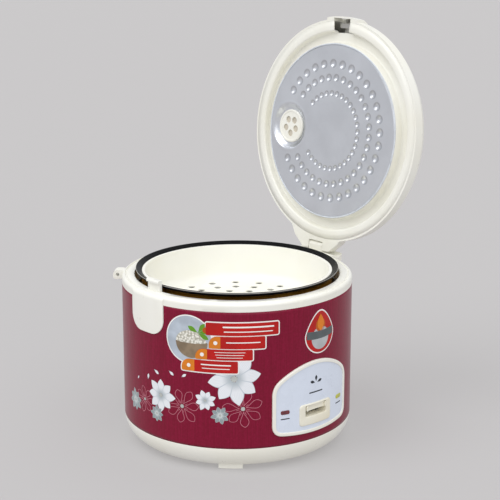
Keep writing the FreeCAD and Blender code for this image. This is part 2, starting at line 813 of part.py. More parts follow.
def lid_cover():
    shell = dome_solid().cut(dome_solid(lid_wall))
    outside = lid_inside + 0.05
    middle, root = hinge_middle, neck_half + 10
    neck_top = lid_rim + neck_height
    neck = plan_profile([
        (middle - root, body_radius - 16), (middle + root, body_radius - 16),
        (middle + neck_half, body_radius + 1), (middle + neck_end_half, neck_end),
        (middle - neck_end_half, neck_end), (middle - neck_half, body_radius + 1),
    ], lid_rim, neck_top)
    neck = neck.cut(rod(outside, lid_rim - 1, neck_top + 1))
    nose = rounded_prism(nose_half_width, lid_rim - 10, lid_rim + 20, 4)
    nose = wall_patch(nose, lid_inside - 5, body_radius + 20)
    nose = at_azimuth(nose.common(box(0, 300, -80, 80, lid_rim, lid_rim + 30)), 0)
    nose = nose.common(dome_solid(-nose_proud)).cut(dome_solid(lid_wall))
    shell = shell.fuse([neck, nose])
    well_top = lid_top + 5
    well = turned([
        (vent_tube_radius + 0.5, lid_top - 14.5), (vent_cap_radius + 2.8, lid_top - 14.5),
        (vent_cap_radius + 2.8, well_top), (vent_cap_radius + 0.8, well_top),
        (vent_cap_radius + 0.8, lid_top - 12.5), (vent_tube_radius + 0.5, lid_top - 12.5),
    ], vent_x, vent_y)
    shell = shell.cut(rod(vent_cap_radius + 1.8, lid_rim, well_top, vent_x, vent_y))
    shell = shell.fuse(well.common(dome_solid()))
    pocket = box(-13, 13, -body_radius - 1.3, -body_radius + 8, lid_rim - 1,
                 ring_top + catch_height + 3.2)
    half = neck_window_half
    window = box(middle - half, middle + half, hinge_y - hinge_lug_radius - 1, neck_end + 1,
                 lid_rim - 5, neck_top + 5)
    hole = button_box(moving)
    bore = rod_x(hinge_pin_radius + running, middle - neck_half, middle + hinge_pin_half + fit,
                 hinge_y, hinge_z)
    spring = rod_x(hinge_spring_outside() + 0.2, middle + half - 1, middle + half + spring_pocket,
                   hinge_y, hinge_z)
    return shell.cut([pocket, window, hole, bore, spring]).removeSplitter()


def button_box(grow=0.0):
    return box(-12.3 - grow, 12.3 + grow, -body_radius + 8.5 - grow, -body_radius + 25 + grow,
               lid_rim + 11.7, lid_top + 10)


def latch_button():
    """Push button that follows the dome, with a sloping foot behind it."""
    skin = dome_solid().cut(dome_solid(lower=3)).common(button_box())
    tip = -body_radius + 12.8
    top = bolt_top() + 2.5
    foot = side_profile([
        (tip + 9, top - 3.6), (tip + 3.6, top - 3.6), (tip, top), (tip, top + 12),
        (tip + 9, top + 20),
    ], -6, 6)
    return skin.fuse(foot.common(dome_solid())).removeSplitter()


def bolt_top():
    """Top of the bolt's bridge, which passes just over the catch."""
    return ring_top + catch_height + 0.9 + 1.4


def latch_bolt():
    """Metal bolt under the catch's nose, pushed out by the button's sloping foot."""
    low = ring_top + catch_height - 3.2 - moving - 1.8
    back = -body_radius + 4.4
    tip = back + 5.4
    heel = -body_radius + 15.4
    top = bolt_top()
    bolt = side_profile([
        (back, low), (tip, low), (tip, low + 1.8), (back + 2.2, low + 1.8),
        (back + 2.2, top - 1.4), (heel, top - 1.4), (heel, top - 0.8),
        (heel - 3.6, top + 2.8), (heel - 5, top + 2.8), (heel - 5, top), (back, top),
    ], -6, 6)
    return bolt.fuse(box(-8, 8, back, tip, low, low + 1.8))


def latch_spring():
    r = body_radius
    spring = coil(2.2, 0.35, 0, 5, 4)
    spring.rotate(V(0, 0, 0), ALONG_X, 90)
    spring.translate(V(0, -r + 4.1, lid_rim + 10))
    return spring


def lid_liner():
    """Inner side of the lid: flat rim, channel over the pot's flange, seat for the plate."""
    rim, deep = lid_rim, flange_top + 1.0
    seat = lid_rim - inner_plate_drop + inner_plate_thickness + fit
    outer = lid_inside - fit
    step = ring_inside + 0.9
    wall_out = basket_inside - 0.8
    end = inner_plate_radius - 2.4
    t = liner_wall
    ring = turned([
        (outer, rim), (step, rim), (step - 1, deep), (wall_out, deep), (wall_out - 0.6, seat),
        (end, seat), (end, seat + 1.6), (wall_out - 0.6 - t, seat + 1.6),
        (wall_out - t, deep + t), (step + 0.6, deep + t), (step + 1.6, rim + t), (outer, rim + t),
    ])
    shelf = box(-8, 8, -body_radius + 0.9, -body_radius + 6.2, rim + t - 0.5,
                ring_top + catch_height - 3.2 - 2 * moving - 1.8)
    slot = box(-catch_half_width - 1.8, catch_half_width + 1.8, -body_radius + 6.4,
               -ring_inside + 2.2, rim - 4, rim + 14)
    trimmed = shelf.common(rod(outer, rim - 1, rim + 30))
    return ring.fuse(trimmed).cut(slot).removeSplitter()


def lid_plate():
    """Aluminium inner plate with a conical well round the vent."""
    low = lid_rim - inner_plate_drop
    high = low + inner_plate_thickness
    r, floor = vent_well_radius, low + 5.2
    disc = turned([(0, low), (inner_plate_radius, low), (inner_plate_radius, high), (0, high)])
    disc = disc.cut(rod(r + 0.5, low - 1, high + 1, vent_x, vent_y))
    t = inner_plate_thickness
    well = turned([
        (r + 1, low), (r, low), (r - 5.5, floor), (vent_tube_radius + 0.5, floor),
        (vent_tube_radius + 0.5, floor + t), (r - 5, floor + t), (r + 0.5, high), (r + 1, high),
    ], vent_x, vent_y)
    return disc.fuse(well).removeSplitter()


def lid_gasket():
    low = lid_rim - inner_plate_drop - 0.4
    inside = inner_plate_radius + fit
    high = lid_rim - inner_plate_drop + inner_plate_thickness
    return turned([
        (inside, low + 0.4), (inside + 0.5, low), (inside + gasket_width - 0.5, low),
        (inside + gasket_width, low + 0.4), (inside + gasket_width, high), (inside, high),
    ])


def vent_disc():
    """Round vent with five holes, on the tube that leads up to the steam cap."""
    low = lid_rim - inner_plate_drop + 2.0
    high, r = low + 2.9, vent_disc_radius
    disc = turned([
        (0, low + 0.6), (r - 3, low + 0.6), (r - 2.4, low), (r - 0.8, low), (r, low + 0.8),
        (r, high), (vent_tube_radius, high), (vent_tube_radius, lid_top - 13.5),
        (vent_tube_radius - 1.8, lid_top - 13.5), (vent_tube_radius - 1.8, high - 0.9),
        (0, high - 0.9),
    ], vent_x, vent_y)
    holes = []
    for k in range(5):
        turn = radians(72 * k + 18)
        holes.append(rod(vent_hole_radius, low - 1, high + 1,
                         vent_x + vent_hole_ring * cos(turn), vent_y + vent_hole_ring * sin(turn)))
    return disc.cut(holes)


def vent_cap():
    """Lift-out steam cap in the lid's outer well, with slots round its crown."""
    low = lid_top - 12.5 + moving
    r, high = vent_cap_radius, low + vent_cap_height
    cap = turned([
        (0, high - 0.6), (r - 6, high - 0.9), (r - 2.2, high - 2.2),
        (r - 2, low), (r, low), (r, high - 3),
        bend(r - 3, high - 3, 3, 0, 75), (0, high + 1.6),
    ], vent_x, vent_y)
    slots = []
    for k in range(8):
        slot = box(7, 15, -1.1, 1.1, low, high + 4)
        slot.rotate(V(0, 0, 0), UP, 45 * k)
        slot.translate(V(vent_x, vent_y, 0))
        slots.append(slot)
    return cap.cut(slots)


def hinge_pin():
    x0, x1 = hinge_middle - hinge_pin_half, hinge_middle + hinge_pin_half
    return rod_x(hinge_pin_radius, x0, x1, hinge_y, hinge_z)


def hinge_spring_outside():
    return hinge_pin_radius + 0.4 + 2 * hinge_spring_wire


def hinge_spring():
    """Spring round the pin, in a pocket of the lid's neck beside the body's lug."""
    mean = hinge_spring_outside() - hinge_spring_wire
    spring = coil(mean, hinge_spring_wire, 0, spring_pocket - 0.6, 5)
    spring.rotate(V(0, 0, 0), ALONG_Y, 90)
    spring.translate(V(hinge_middle + neck_window_half + 0.3, hinge_y, hinge_z))
    return spring


STILL = {
    "outer_sleeve": outer_sleeve, "upper_ring": upper_ring, "latch_catch": latch_catch,
    "base_cover": base_cover, "foot_pads": foot_pads, "base_screws": base_screws,
    "inner_housing": inner_housing, "heating_plate": heating_plate,
    "heating_element": heating_element, "sensor_cap": sensor_cap,
    "sensor_guide": sensor_guide, "sensor_spring": sensor_spring, "magnet_rod": magnet_rod,
    "warm_band": warm_band, "thermal_fuse": thermal_fuse, "terminal_block": terminal_block,
    "cook_lever": cook_lever, "lever_bracket": lever_bracket, "lever_pin": lever_pin,
    "microswitch": microswitch, "panel_bezel": panel_bezel, "panel_face": panel_face,
    "lever_bezel": lever_bezel, "inlet_socket": inlet_socket, "inlet_pins": inlet_pins,
    "inner_pot": inner_pot, "steamer_basket": steamer_basket, "hinge_pin": hinge_pin,
    "hinge_spring": hinge_spring,
}
ON_LID = {
    "lid_cover": lid_cover, "lid_liner": lid_liner, "lid_plate": lid_plate,
    "lid_gasket": lid_gasket, "vent_disc": vent_disc, "vent_cap": vent_cap,
    "latch_button": latch_button, "latch_bolt": latch_bolt, "latch_spring": latch_spring,
}


def build():
    pieces = {name: make() for name, make in STILL.items()}
    pieces["cook_lamp"] = lamp_lens(-1)
    pieces["warm_lamp"] = lamp_lens(1)
    for name, make in ON_LID.items():
        pieces[name] = opened(make())
    return pieces


os.makedirs("parts", exist_ok=True)
for name, shape in build().items():
    shape.exportStep(f"parts/{name}.step")
    print(name, len(shape.Solids), "solids", round(shape.Volume / 1000, 2), "cm3", shape.isValid())
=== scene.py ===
import json
import bmesh
import bpy
import numpy as np
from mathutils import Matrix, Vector


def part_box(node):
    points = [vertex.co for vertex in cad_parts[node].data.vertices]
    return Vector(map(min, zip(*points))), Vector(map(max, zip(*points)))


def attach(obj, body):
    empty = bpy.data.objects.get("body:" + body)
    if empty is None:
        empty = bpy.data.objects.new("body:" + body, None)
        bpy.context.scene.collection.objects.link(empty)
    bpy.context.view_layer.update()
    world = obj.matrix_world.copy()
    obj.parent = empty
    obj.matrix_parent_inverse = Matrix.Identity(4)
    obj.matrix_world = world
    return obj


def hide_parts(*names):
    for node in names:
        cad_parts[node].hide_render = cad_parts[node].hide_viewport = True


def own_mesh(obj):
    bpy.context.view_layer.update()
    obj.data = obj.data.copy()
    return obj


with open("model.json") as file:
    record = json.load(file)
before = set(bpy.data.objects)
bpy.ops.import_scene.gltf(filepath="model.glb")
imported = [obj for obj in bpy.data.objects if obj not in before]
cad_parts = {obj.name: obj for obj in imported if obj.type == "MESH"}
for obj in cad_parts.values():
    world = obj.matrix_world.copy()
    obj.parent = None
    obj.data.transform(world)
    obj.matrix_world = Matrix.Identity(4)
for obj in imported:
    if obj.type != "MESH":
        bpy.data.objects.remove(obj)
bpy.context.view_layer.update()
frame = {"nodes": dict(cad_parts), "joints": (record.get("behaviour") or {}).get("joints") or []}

mm = 0.001


studio = {
    "cameraPlace": (1.1018, -0.9680, 0.5908),   # metres
    "cameraLooks": (-0.7210, 0.6461, -0.2503),
    "lens": 98.21,
    "floorSize": 60.0,
    "floorColour": (0.262, 0.255, 0.254, 1),
    "floorGlow": (0.283, 0.277, 0.279, 1),
    "worldColour": (0.965, 0.975, 1.0, 1),
    "worldStrength": 0.64,
    # azimuth, elevation, how wide the source looks (degrees), strength
    "lights": {
        "key": (-10, 50, 44, 1.0),
        "fill": (70, 40, 60, 0.75),
        "top": (120, 84, 80, 0.45),
    },
}


def aimed(thing, place, direction):
    thing.location = place
    thing.rotation_euler = Vector(direction).to_track_quat("-Z", "Y").to_euler()
    bpy.context.scene.collection.objects.link(thing)
    return thing


def makeStudio():
    camera = bpy.data.cameras.new("camera")
    camera.lens = studio["lens"]
    camera.clip_end = 100
    bpy.context.scene.camera = aimed(
        bpy.data.objects.new("camera", camera), studio["cameraPlace"], studio["cameraLooks"])
    for name, (azimuth, elevation, spread, strength) in studio["lights"].items():
        light = bpy.data.lights.new(name, "SUN")
        light.energy, light.angle = strength, np.radians(spread)
        turn, rise = np.radians((azimuth, elevation))
        towards = Vector((np.sin(turn) * np.cos(rise), -np.cos(turn) * np.cos(rise), np.sin(rise)))
        aimed(bpy.data.objects.new(name, light), towards * 3, -towards)
    world = bpy.data.worlds.new("studio")
    world.use_nodes = True
    background = world.node_tree.nodes["Background"]
    background.inputs["Color"].default_value = studio["worldColour"]
    background.inputs["Strength"].default_value = studio["worldStrength"]
    bpy.context.scene.world = world
    bpy.context.scene.view_settings.view_transform = "Standard"


class Wire:
    # One node output, or any expression on it: each operator adds a Math node.

    def __init__(self, tree, socket):
        self.tree, self.socket = tree, socket

    def math(self, operation, *others):
        return addNode(self.tree, "ShaderNodeMath", {"operation": operation}, (self, *others))

    def __add__(self, other):
        return self.math("ADD", other)

    def __sub__(self, other):
        return self.math("SUBTRACT", other)

    def __rsub__(self, other):
        return addNode(self.tree, "ShaderNodeMath", {"operation": "SUBTRACT"}, (other, self))

    def __mul__(self, other):
        return self.math("MULTIPLY", other)

    __radd__ = __add__
    __rmul__ = __mul__

    def between(self, low, high):
        # 0 at low, 1 at high, smooth in between
        return addNode(self.tree, "ShaderNodeMapRange", {"interpolation_type": "SMOOTHSTEP"},
                       {"Value": self, "From Min": low, "From Max": high})


def addNode(tree, kind, settings=None, inputs=None, output=0):
    node = tree.nodes.new(kind)
    for key, value in (settings or {}).items():
        if key == "stops":
            for stop, (place, colour) in zip(node.color_ramp.elements, value):
                stop.position, stop.color = place, colour
        else:
            setattr(node, key, value)
    named = inputs.items() if isinstance(inputs, dict) else enumerate(inputs or ())
    for key, value in named:
        if isinstance(value, Wire):
            tree.links.new(value.socket, node.inputs[key])
        else:
            node.inputs[key].default_value = value
    return Wire(tree, node.outputs[output])


class Finish:
    # A material on the Principled shader, built up by the finish functions.

    def __init__(self, name, **fixed):
        self.material = bpy.data.materials.new(name)
        self.material.use_nodes = True
        self.tree = self.material.node_tree
        self.shader = self.tree.nodes["Principled BSDF"]
        self.place = self.node("ShaderNodeTexCoord", output="Object")
        for socket, value in fixed.items():
            self.set(socket.replace("_", " "), value)

    def node(self, kind, settings=None, inputs=None, output=0):
        return addNode(self.tree, kind, settings, inputs, output)

    def set(self, socket, value):
        target = self.shader.inputs[socket]
        if isinstance(value, Wire):
            self.tree.links.new(value.socket, target)
        else:
            target.default_value = value
        return self

    def noise(self, perMetre, detail=2.0, rough=0.5, stretch=None):
        place = self.place
        if stretch:
            place = self.node("ShaderNodeMapping", inputs={"Vector": place, "Scale": stretch})
        return self.node("ShaderNodeTexNoise", inputs={
            "Vector": place, "Scale": perMetre, "Detail": detail, "Roughness": rough})

    def mixed(self, factor, first, second):
        return self.node("ShaderNodeMix", {"data_type": "RGBA"},
                         {"Factor": factor, 6: first, 7: second}, output=2)

    def axes(self, place=None):
        split = self.node("ShaderNodeSeparateXYZ", inputs={"Vector": place or self.place})
        return [Wire(self.tree, split.socket.node.outputs[k]) for k in range(3)]

    def clouded(self, colour):
        # the colour with duller clouds in it, and the clouds themselves
        clouds = self.noise(22, 4.0, 0.55)
        return self.mixed(clouds.between(0.3, 0.8), shade(colour, 0.9), colour), clouds

    def bumped(self, height, distance, strength=1.0):
        bump = self.node("ShaderNodeBump", inputs={
            "Height": height, "Distance": distance, "Strength": strength})
        return self.set("Normal", bump)


def rgb(red, green, blue):
    # display values 0 to 255, as linear light
    seen = np.array([red, green, blue]) / 255
    light = np.where(seen > 0.04045, ((seen + 0.055) / 1.055) ** 2.4, seen / 12.92)
    return (*light.tolist(), 1.0)


def shade(colour, factor):
    return (*[channel * factor for channel in colour[:3]], 1.0)


finishes = {
    "cream": rgb(246, 245, 237),
    "creamWarm": rgb(243, 241, 229),
    "maroon": rgb(136, 12, 52),
    "maroonDeep": rgb(120, 7, 41),
    "panelBlue": rgb(224, 232, 246),
    "gold": rgb(205, 160, 66),
    "goldDeep": rgb(160, 118, 40),
    "coating": rgb(9, 9, 11),
    "aluminium": rgb(232, 235, 241),
    "steel": rgb(190, 190, 188),
}


def plasticFinish(name, colour, warm, roughness=0.3, grain=0.00002, coat=0.25):
    # moulded plastic: cloudy tone, a finer gloss change and a faint spark-eroded grain
    f = Finish(name, Coat_Weight=coat, Coat_Roughness=0.18, Specular_IOR_Level=0.5)
    clouds = f.noise(14, 3.0)
    f.set("Base Color", f.mixed(clouds.between(0.3, 0.75), colour, warm))
    gloss = f.noise(60, 4.0, 0.6)
    f.set("Roughness", gloss * 0.14 + (roughness - 0.07))
    f.bumped(f.noise(2600, 2.0) + f.noise(110, 2.0) * 2.0, grain, 0.5)
    return f


def sleeveFinish(name):
    # printed and lacquered sheet: fine vertical rolling lines under a clear coat
    f = Finish(name, Coat_Weight=0.16, Coat_Roughness=0.12, Specular_IOR_Level=0.16)
    lines = f.noise(900, 3.0, 0.6, (1, 1, 0.03))
    mottle = f.noise(420, 2.0)
    tone = (lines * 0.6 + mottle * 0.4).between(0.35, 0.7)
    f.set("Base Color", f.mixed(tone, finishes["maroonDeep"], finishes["maroon"]))
    f.set("Roughness", f.noise(35, 3.0) * 0.12 + 0.26)
    f.bumped(f.noise(320, 2.0) + lines * 0.5, 0.00003, 0.4)
    return f


def metalFinish(name, colour, roughness, depth, perMetre=900, stretch=None):
    # bare metal: rolled or spun grain, cloudy gloss and small pits
    f = Finish(name, Metallic=1.0)
    grain = f.noise(perMetre, 3.0, 0.6, stretch)
    tone, clouds = f.clouded(colour)
    f.set("Base Color", tone)
    f.set("Roughness", grain * 0.12 + clouds * 0.1 + (roughness - 0.11))
    f.bumped(grain, depth, 0.5)
    return f


def plateFinish(name, colour):
    # satin sheet with painted shade: its base colour is darkened on the walls of each dimple,
    # standing in for the shade in the recess
    f = metalFinish(name, colour, 0.33, 0.000008, 1500)
    dimpleShadeMask = f.node("ShaderNodeAttribute", {"attribute_name": "dimpleShadeMask"}, output="Fac")
    # painted shade: the dimple walls are mixed towards half the plate's colour
    wall = dimpleShadeMask.between(0.04, 0.3) * (1 - dimpleShadeMask.between(0.45, 0.95)) * 0.55
    plain = f.clouded(colour)[0]
    return f.set("Base Color", f.mixed(wall, plain, shade(colour, 0.5)))


def potFinish(name):
    # black coated rim, a bare line under it, and gold anodised wall with turning marks
    f = Finish(name, Coat_Weight=0.0, Specular_IOR_Level=0.06)
    x, y, z = f.axes()
    rim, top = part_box("inner_pot")[1].x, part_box("inner_pot")[1].z
    seat, edge = top - pot["seat"] * mm, top - pot["bareEdge"] * mm
    line, soft, lining = pot["bareLine"] * mm, pot["softEdge"] * mm, pot["lining"] * mm
    out = f.node("ShaderNodeVectorMath", {"operation": "LENGTH"}, {0: f.node(
        "ShaderNodeCombineXYZ", inputs={"X": x, "Y": y})}, output="Value")
    outside = out.between(rim - line, rim - 3 * soft)
    bare = z.between(edge - soft, edge) * outside * (1 - z.between(edge + line, edge + line + soft))
    inside = 1 - out.between(lining, lining + 2 * soft)
    black = z.between(seat - 3 * soft, seat).math("MAXIMUM", inside) * (1 - bare)
    turning = f.noise(1300, 2.0, 0.6, (0.02, 0.02, 1))
    clouds = f.noise(30, 3.0)
    gold = f.mixed(clouds.between(0.3, 0.7), finishes["goldDeep"], finishes["gold"])
    body = f.mixed(bare, gold, finishes["steel"])
    speck = f.noise(2400, 1.0).between(0.62, 0.7)
    dark = f.mixed(speck * 0.12, finishes["coating"], shade(finishes["steel"], 0.3))
    f.set("Base Color", f.mixed(black, body, dark))
    f.set("Metallic", (1 - black) * 0.85)
    f.set("Roughness", black * 0.02 + clouds * 0.12 + 0.24)
    f.bumped(turning * (1 - black) + f.noise(2600, 2.0) * black, 0.00003, 0.5)
    return f


def petalFinish(name, heart, body, edge):
    # a petal's own map runs base to tip in X and edge to edge in Y
    f = Finish(name, Coat_Weight=0.6, Coat_Roughness=0.1, Roughness=0.35)
    ownMap = f.node("ShaderNodeUVMap", {"uv_map": "petal"})
    along, across = f.axes(ownMap)[:2]
    side = (across * 2.0 - 1.0).math("ABSOLUTE")
    veins = f.node("ShaderNodeTexWave", {"wave_type": "BANDS", "bands_direction": "Y"}, {
        "Vector": ownMap, "Scale": 2.6, "Distortion": 1.2, "Detail": 2.0}, output="Fac")
    inner = f.mixed(along.between(0.0, 0.45), heart, body)
    lined = f.mixed(veins.between(0.5, 1.0) * 0.22, inner, heart)
    rim = side.between(0.82, 0.96) * 0.9
    f.set("Base Color", f.mixed(rim, lined, edge))
    f.bumped(veins, 0.00002, 0.3)
    return f


def printFinish(name, colour, deep=0.8, roughness=0.3):
    # screen-printed ink or label film: uneven ink and a fine dot grain
    f = Finish(name, Coat_Weight=0.15, Coat_Roughness=0.12, Specular_IOR_Level=0.3)
    ink = f.noise(70, 3.0)
    f.set("Base Color", f.mixed(ink.between(0.3, 0.8), shade(colour, deep), colour))
    f.set("Roughness", ink * 0.1 + (roughness - 0.05))
    f.bumped(f.noise(3000, 1.0), 0.00001, 0.3)
    return f


def grainFinish(name):
    # printed rice: small pale grains with grey gaps between them
    f = Finish(name, Coat_Weight=0.3, Coat_Roughness=0.12, Roughness=0.35)
    cells = f.node("ShaderNodeTexVoronoi", {"feature": "F1"}, {
        "Vector": f.place, "Scale": 420.0}, output="Distance")
    f.set("Base Color", f.mixed(cells.between(0.25, 0.75), rgb(240, 238, 228), rgb(176, 172, 156)))
    f.bumped(cells, 0.00003, 0.4)
    return f


def lensFinish(name, colour):
    f = Finish(name, Coat_Weight=1.0, Coat_Roughness=0.04, Roughness=0.22)
    ribs = f.noise(500, 1.0, 0.5, (1, 1, 0.2))
    f.set("Base Color", f.mixed(ribs.between(0.3, 0.7), shade(colour, 0.55), colour))
    f.bumped(ribs, 0.00006, 0.4)
    return f


def rubberFinish(name, colour, roughness=0.6):
    f = Finish(name, Specular_IOR_Level=0.35)
    bloom = f.noise(90, 4.0, 0.65)
    f.set("Base Color", f.mixed(bloom.between(0.35, 0.8), colour, shade(colour, 1.25)))
    f.set("Roughness", bloom * 0.2 + (roughness - 0.1))
    f.bumped(f.noise(1800, 3.0), 0.00003, 0.6)
    return f


def floorFinish():
    f = Finish("studioFloor", Roughness=0.9, Specular_IOR_Level=0.1, Emission_Strength=1.0)
    f.set("Base Color", studio["floorColour"])
    f.set("Emission Color", studio["floorGlow"])
    return f


def makeFinishes():
    c = finishes
    spun = (1, 0.04, 1)
    return {
        "cream_plastic": plasticFinish("creamPlastic", c["cream"], c["creamWarm"]),
        "lever_plastic": plasticFinish("leverPlastic", c["creamWarm"], rgb(238, 231, 208), 0.32),
        "basket_plastic": plasticFinish("basketPlastic", c["cream"], c["creamWarm"],
                                        0.42, 0.00003, 0.1),
        "coloured_steel": sleeveFinish("lacqueredSleeve"),
        "panel_print": printFinish("panelPrint", c["panelBlue"], 0.96, 0.28),
        "red_lens": lensFinish("redLens", rgb(112, 10, 26)),
        "yellow_lens": lensFinish("yellowLens", rgb(196, 196, 58)),
        "satin_aluminium": metalFinish("satinAluminium", c["aluminium"], 0.33, 0.000008, 1500),
        "cast_aluminium": metalFinish("castAluminium", rgb(186, 188, 190), 0.5, 0.00006, 700),
        "galvanised_steel": metalFinish("galvanisedSteel", rgb(176, 180, 182), 0.42, 0.00002, 240),
        "plated_steel": metalFinish("platedSteel", rgb(196, 194, 188), 0.3, 0.00001, stretch=spun),
        "pin_brass": metalFinish("pinBrass", rgb(206, 170, 96), 0.3, 0.00001, stretch=spun),
        "pot_coating": potFinish("potCoating"),
        "black_plastic": plasticFinish("blackPlastic", rgb(26, 26, 28), rgb(34, 34, 36),
                                       0.4, 0.00004, 0.0),
        "white_nylon": plasticFinish("whiteNylon", rgb(238, 238, 232), rgb(228, 226, 216),
                                     0.45, 0.00003, 0.0),
        "foot_rubber": rubberFinish("footRubber", rgb(58, 58, 60)),
        "gasket_rubber": rubberFinish("siliconeSeal", rgb(205, 210, 216), 0.4),
        "magnet_black": rubberFinish("ferrite", rgb(40, 38, 38), 0.5),
        "fuse_sleeve": rubberFinish("fuseSleeve", rgb(212, 200, 176), 0.7),
        "band_mica": rubberFinish("micaBand", rgb(176, 160, 132), 0.5),
    }


def surface(name, grid, finish, body, loopRows=False, loopColumns=False, drop=None,
            uv=None, smooth=True, angle=38):
    # grid[..., i, j] are points in mm; every cell of four neighbours is one face, a loop
    # joins the last row or column to the first, and equal points become one pole.
    grid = grid.reshape(-1, *grid.shape[-3:])
    sheets, rows, columns = grid.shape[:3]
    i, j = np.meshgrid(np.arange(rows if loopRows else rows - 1),
                       np.arange(columns if loopColumns else columns - 1), indexing="ij")
    nextI, nextJ = (i + 1) % rows, (j + 1) % columns
    cell = np.stack([i * columns + j, i * columns + nextJ,
                     nextI * columns + nextJ, nextI * columns + j], -1).reshape(-1, 4)
    faces = (cell[None] + (np.arange(sheets) * rows * columns)[:, None, None]).reshape(-1, 4)
    points = grid.reshape(-1, 3)
    if drop is not None:
        faces = faces[~drop(points[faces].mean(1))]
    mesh = bpy.data.meshes.new(name)
    mesh.from_pydata(points * mm, [], faces.tolist())
    if uv is not None:
        layer = mesh.uv_layers.new(name="petal")
        flat = np.broadcast_to(uv, (*grid.shape[:3], 2)).reshape(-1, 2)
        layer.data.foreach_set("uv", flat[faces.reshape(-1)].ravel())
    work = bmesh.new()
    work.from_mesh(mesh)
    bmesh.ops.remove_doubles(work, verts=work.verts, dist=2e-6)
    loose = [v for v in work.verts if not v.link_faces]
    bmesh.ops.delete(work, geom=loose, context="VERTS")
    if all(edge.is_manifold for edge in work.edges):
        bmesh.ops.recalc_face_normals(work, faces=work.faces)
    work.to_mesh(mesh)
    work.free()
    return shown(name, mesh, finish, body, smooth, angle)


def shown(name, mesh, finish, body, smooth=True, angle=38):
    mesh.polygons.foreach_set("use_smooth", [smooth] * len(mesh.polygons))
    if smooth:
        mesh.set_sharp_from_angle(angle=np.radians(angle))
    mesh.materials.clear()
    mesh.materials.append(finish.material)
    piece = bpy.data.objects.new(name, mesh)
    bpy.context.scene.collection.objects.link(piece)
    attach(piece, body)
    return piece


def softened(node, name, finish, body, width=0.35, angle=30, segments=2):
    # a merged copy of a CAD piece, its flats joined up and its sharp edges rounded over
    mesh = frame["nodes"][node].data.copy()
    work = bmesh.new()
    work.from_mesh(mesh)
    bmesh.ops.remove_doubles(work, verts=work.verts, dist=1e-6)
    bmesh.ops.dissolve_limit(work, angle_limit=np.radians(0.6), verts=work.verts,
                             edges=work.edges, delimit={"NORMAL"})
    work.to_mesh(mesh)
    work.free()
    piece = shown(name, mesh, finish, body, True, angle)
    bevel = piece.modifiers.new("edges", "BEVEL")
    bevel.width, bevel.segments = width * mm, segments
    bevel.limit_method, bevel.angle_limit = "ANGLE", np.radians(angle)
    bevel.harden_normals = True
    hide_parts(node)
    return piece


def eased(corners, closed=True, steps=6):
    # Each corner c, eased by k, becomes (1-t)^2 a + 2t(1-t) c + t^2 b, where a and b are
    # k before and k after it along its two sides.
    corners = [(*corner, 0)[:3] if len(corner) == 2 else corner for corner in corners]
    points = np.array([corner[:2] for corner in corners], float)
    t = np.linspace(0, 1, steps)[:, None]
    path = []
    for k, corner in enumerate(corners):
        ends = not closed and k in (0, len(corners) - 1)
        if ends or corner[2] == 0:
            path.append(points[k][None])
            continue
        before, after = points[k - 1] - points[k], points[(k + 1) % len(points)] - points[k]
        a = points[k] + before / np.linalg.norm(before) * corner[2]
        b = points[k] + after / np.linalg.norm(after) * corner[2]
        path.append((1 - t) ** 2 * a + 2 * t * (1 - t) * points[k] + t ** 2 * b)
    return np.concatenate(path)


def arc(centre, radius, start, end, steps=12):
    turn = np.radians(np.linspace(start, end, steps))
    return np.stack([centre[0] + radius * np.cos(turn), centre[1] + radius * np.sin(turn)], -1)


def turned(profile, azimuths=None, centre=(0, 0)):
    # (r, z) carried round the axis: x = cx + r sin a, y = cy - r cos a
    a = np.radians(np.arange(0, 360, 1.25) if azimuths is None else azimuths)
    r, z = profile[:, 0, None], profile[:, 1, None]
    return np.stack([centre[0] + r * np.sin(a), centre[1] - r * np.cos(a),
                     z + 0 * a], -1)


hinge = next(j for j in frame["joints"] if j["name"] == "lid_hinge")


def swung(points, opening=1):
    # closed points turned about the hinge axis to the open rest pose, or back with -1
    origin = np.array(hinge["pos_m"]) / mm
    turn = np.radians(min(hinge["range_deg"])) * opening
    y, z = points[..., 1] - origin[1], points[..., 2] - origin[2]
    return np.stack([points[..., 0], origin[1] + y * np.cos(turn) - z * np.sin(turn),
                     origin[2] + y * np.sin(turn) + z * np.cos(turn)], -1)


def wrapped(plan, lift, azimuth, height):
    # plan (u, v) laid on the body, of radius R: azimuth + u / R, height + v, R + lift
    a = np.radians(azimuth) + plan[..., 0] / bodyRadius
    out = bodyRadius + lift
    return np.stack([out * np.sin(a), -out * np.cos(a), height + plan[..., 1] + 0 * a], -1)


def spanOf(node):
    # lowest and highest corner of a CAD piece, in mm
    low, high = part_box(node)
    return np.array(low) / mm, np.array(high) / mm


bodyRadius = spanOf("outer_sleeve")[1][0]


sleeve = {
    "wall": 0.8,
    "rowStep": 3.0,
    "columnStep": 1.25,
    # azimuth, height, half across, half up: openings hidden by the panel and the inlet
    "openings": ((89, 61.5, 17.6, 9.6), (71.6, 65.5, 4.6, 2.6), (106.4, 65.5, 4.6, 2.6),
                 (270, 43, 15, 10)),
}


def inOpening(points):
    azimuth = np.degrees(np.arctan2(points[:, 0], -points[:, 1])) % 360
    inside = np.zeros(len(points), bool)
    for middle, height, across, up in sleeve["openings"]:
        along = np.radians(azimuth - middle) * bodyRadius
        inside |= (abs(along) < across) & (abs(points[:, 2] - height) < up)
    return inside


def makeSleeve(finish):
    # cylinder: radius is constant, rows go up and columns go round
    low, high = spanOf("outer_sleeve")
    z = np.linspace(low[2], high[2], int((high[2] - low[2]) / sleeve["rowStep"]))
    profile = np.stack([np.full_like(z, bodyRadius), z], -1)
    columns = np.arange(0, 360, sleeve["columnStep"])
    piece = surface("sleeve", turned(profile, columns), finish, "housing",
                    loopColumns=True, drop=inOpening)
    wall = piece.modifiers.new("wall", "SOLIDIFY")
    wall.thickness, wall.offset = sleeve["wall"] * mm, -1
    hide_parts("outer_sleeve")


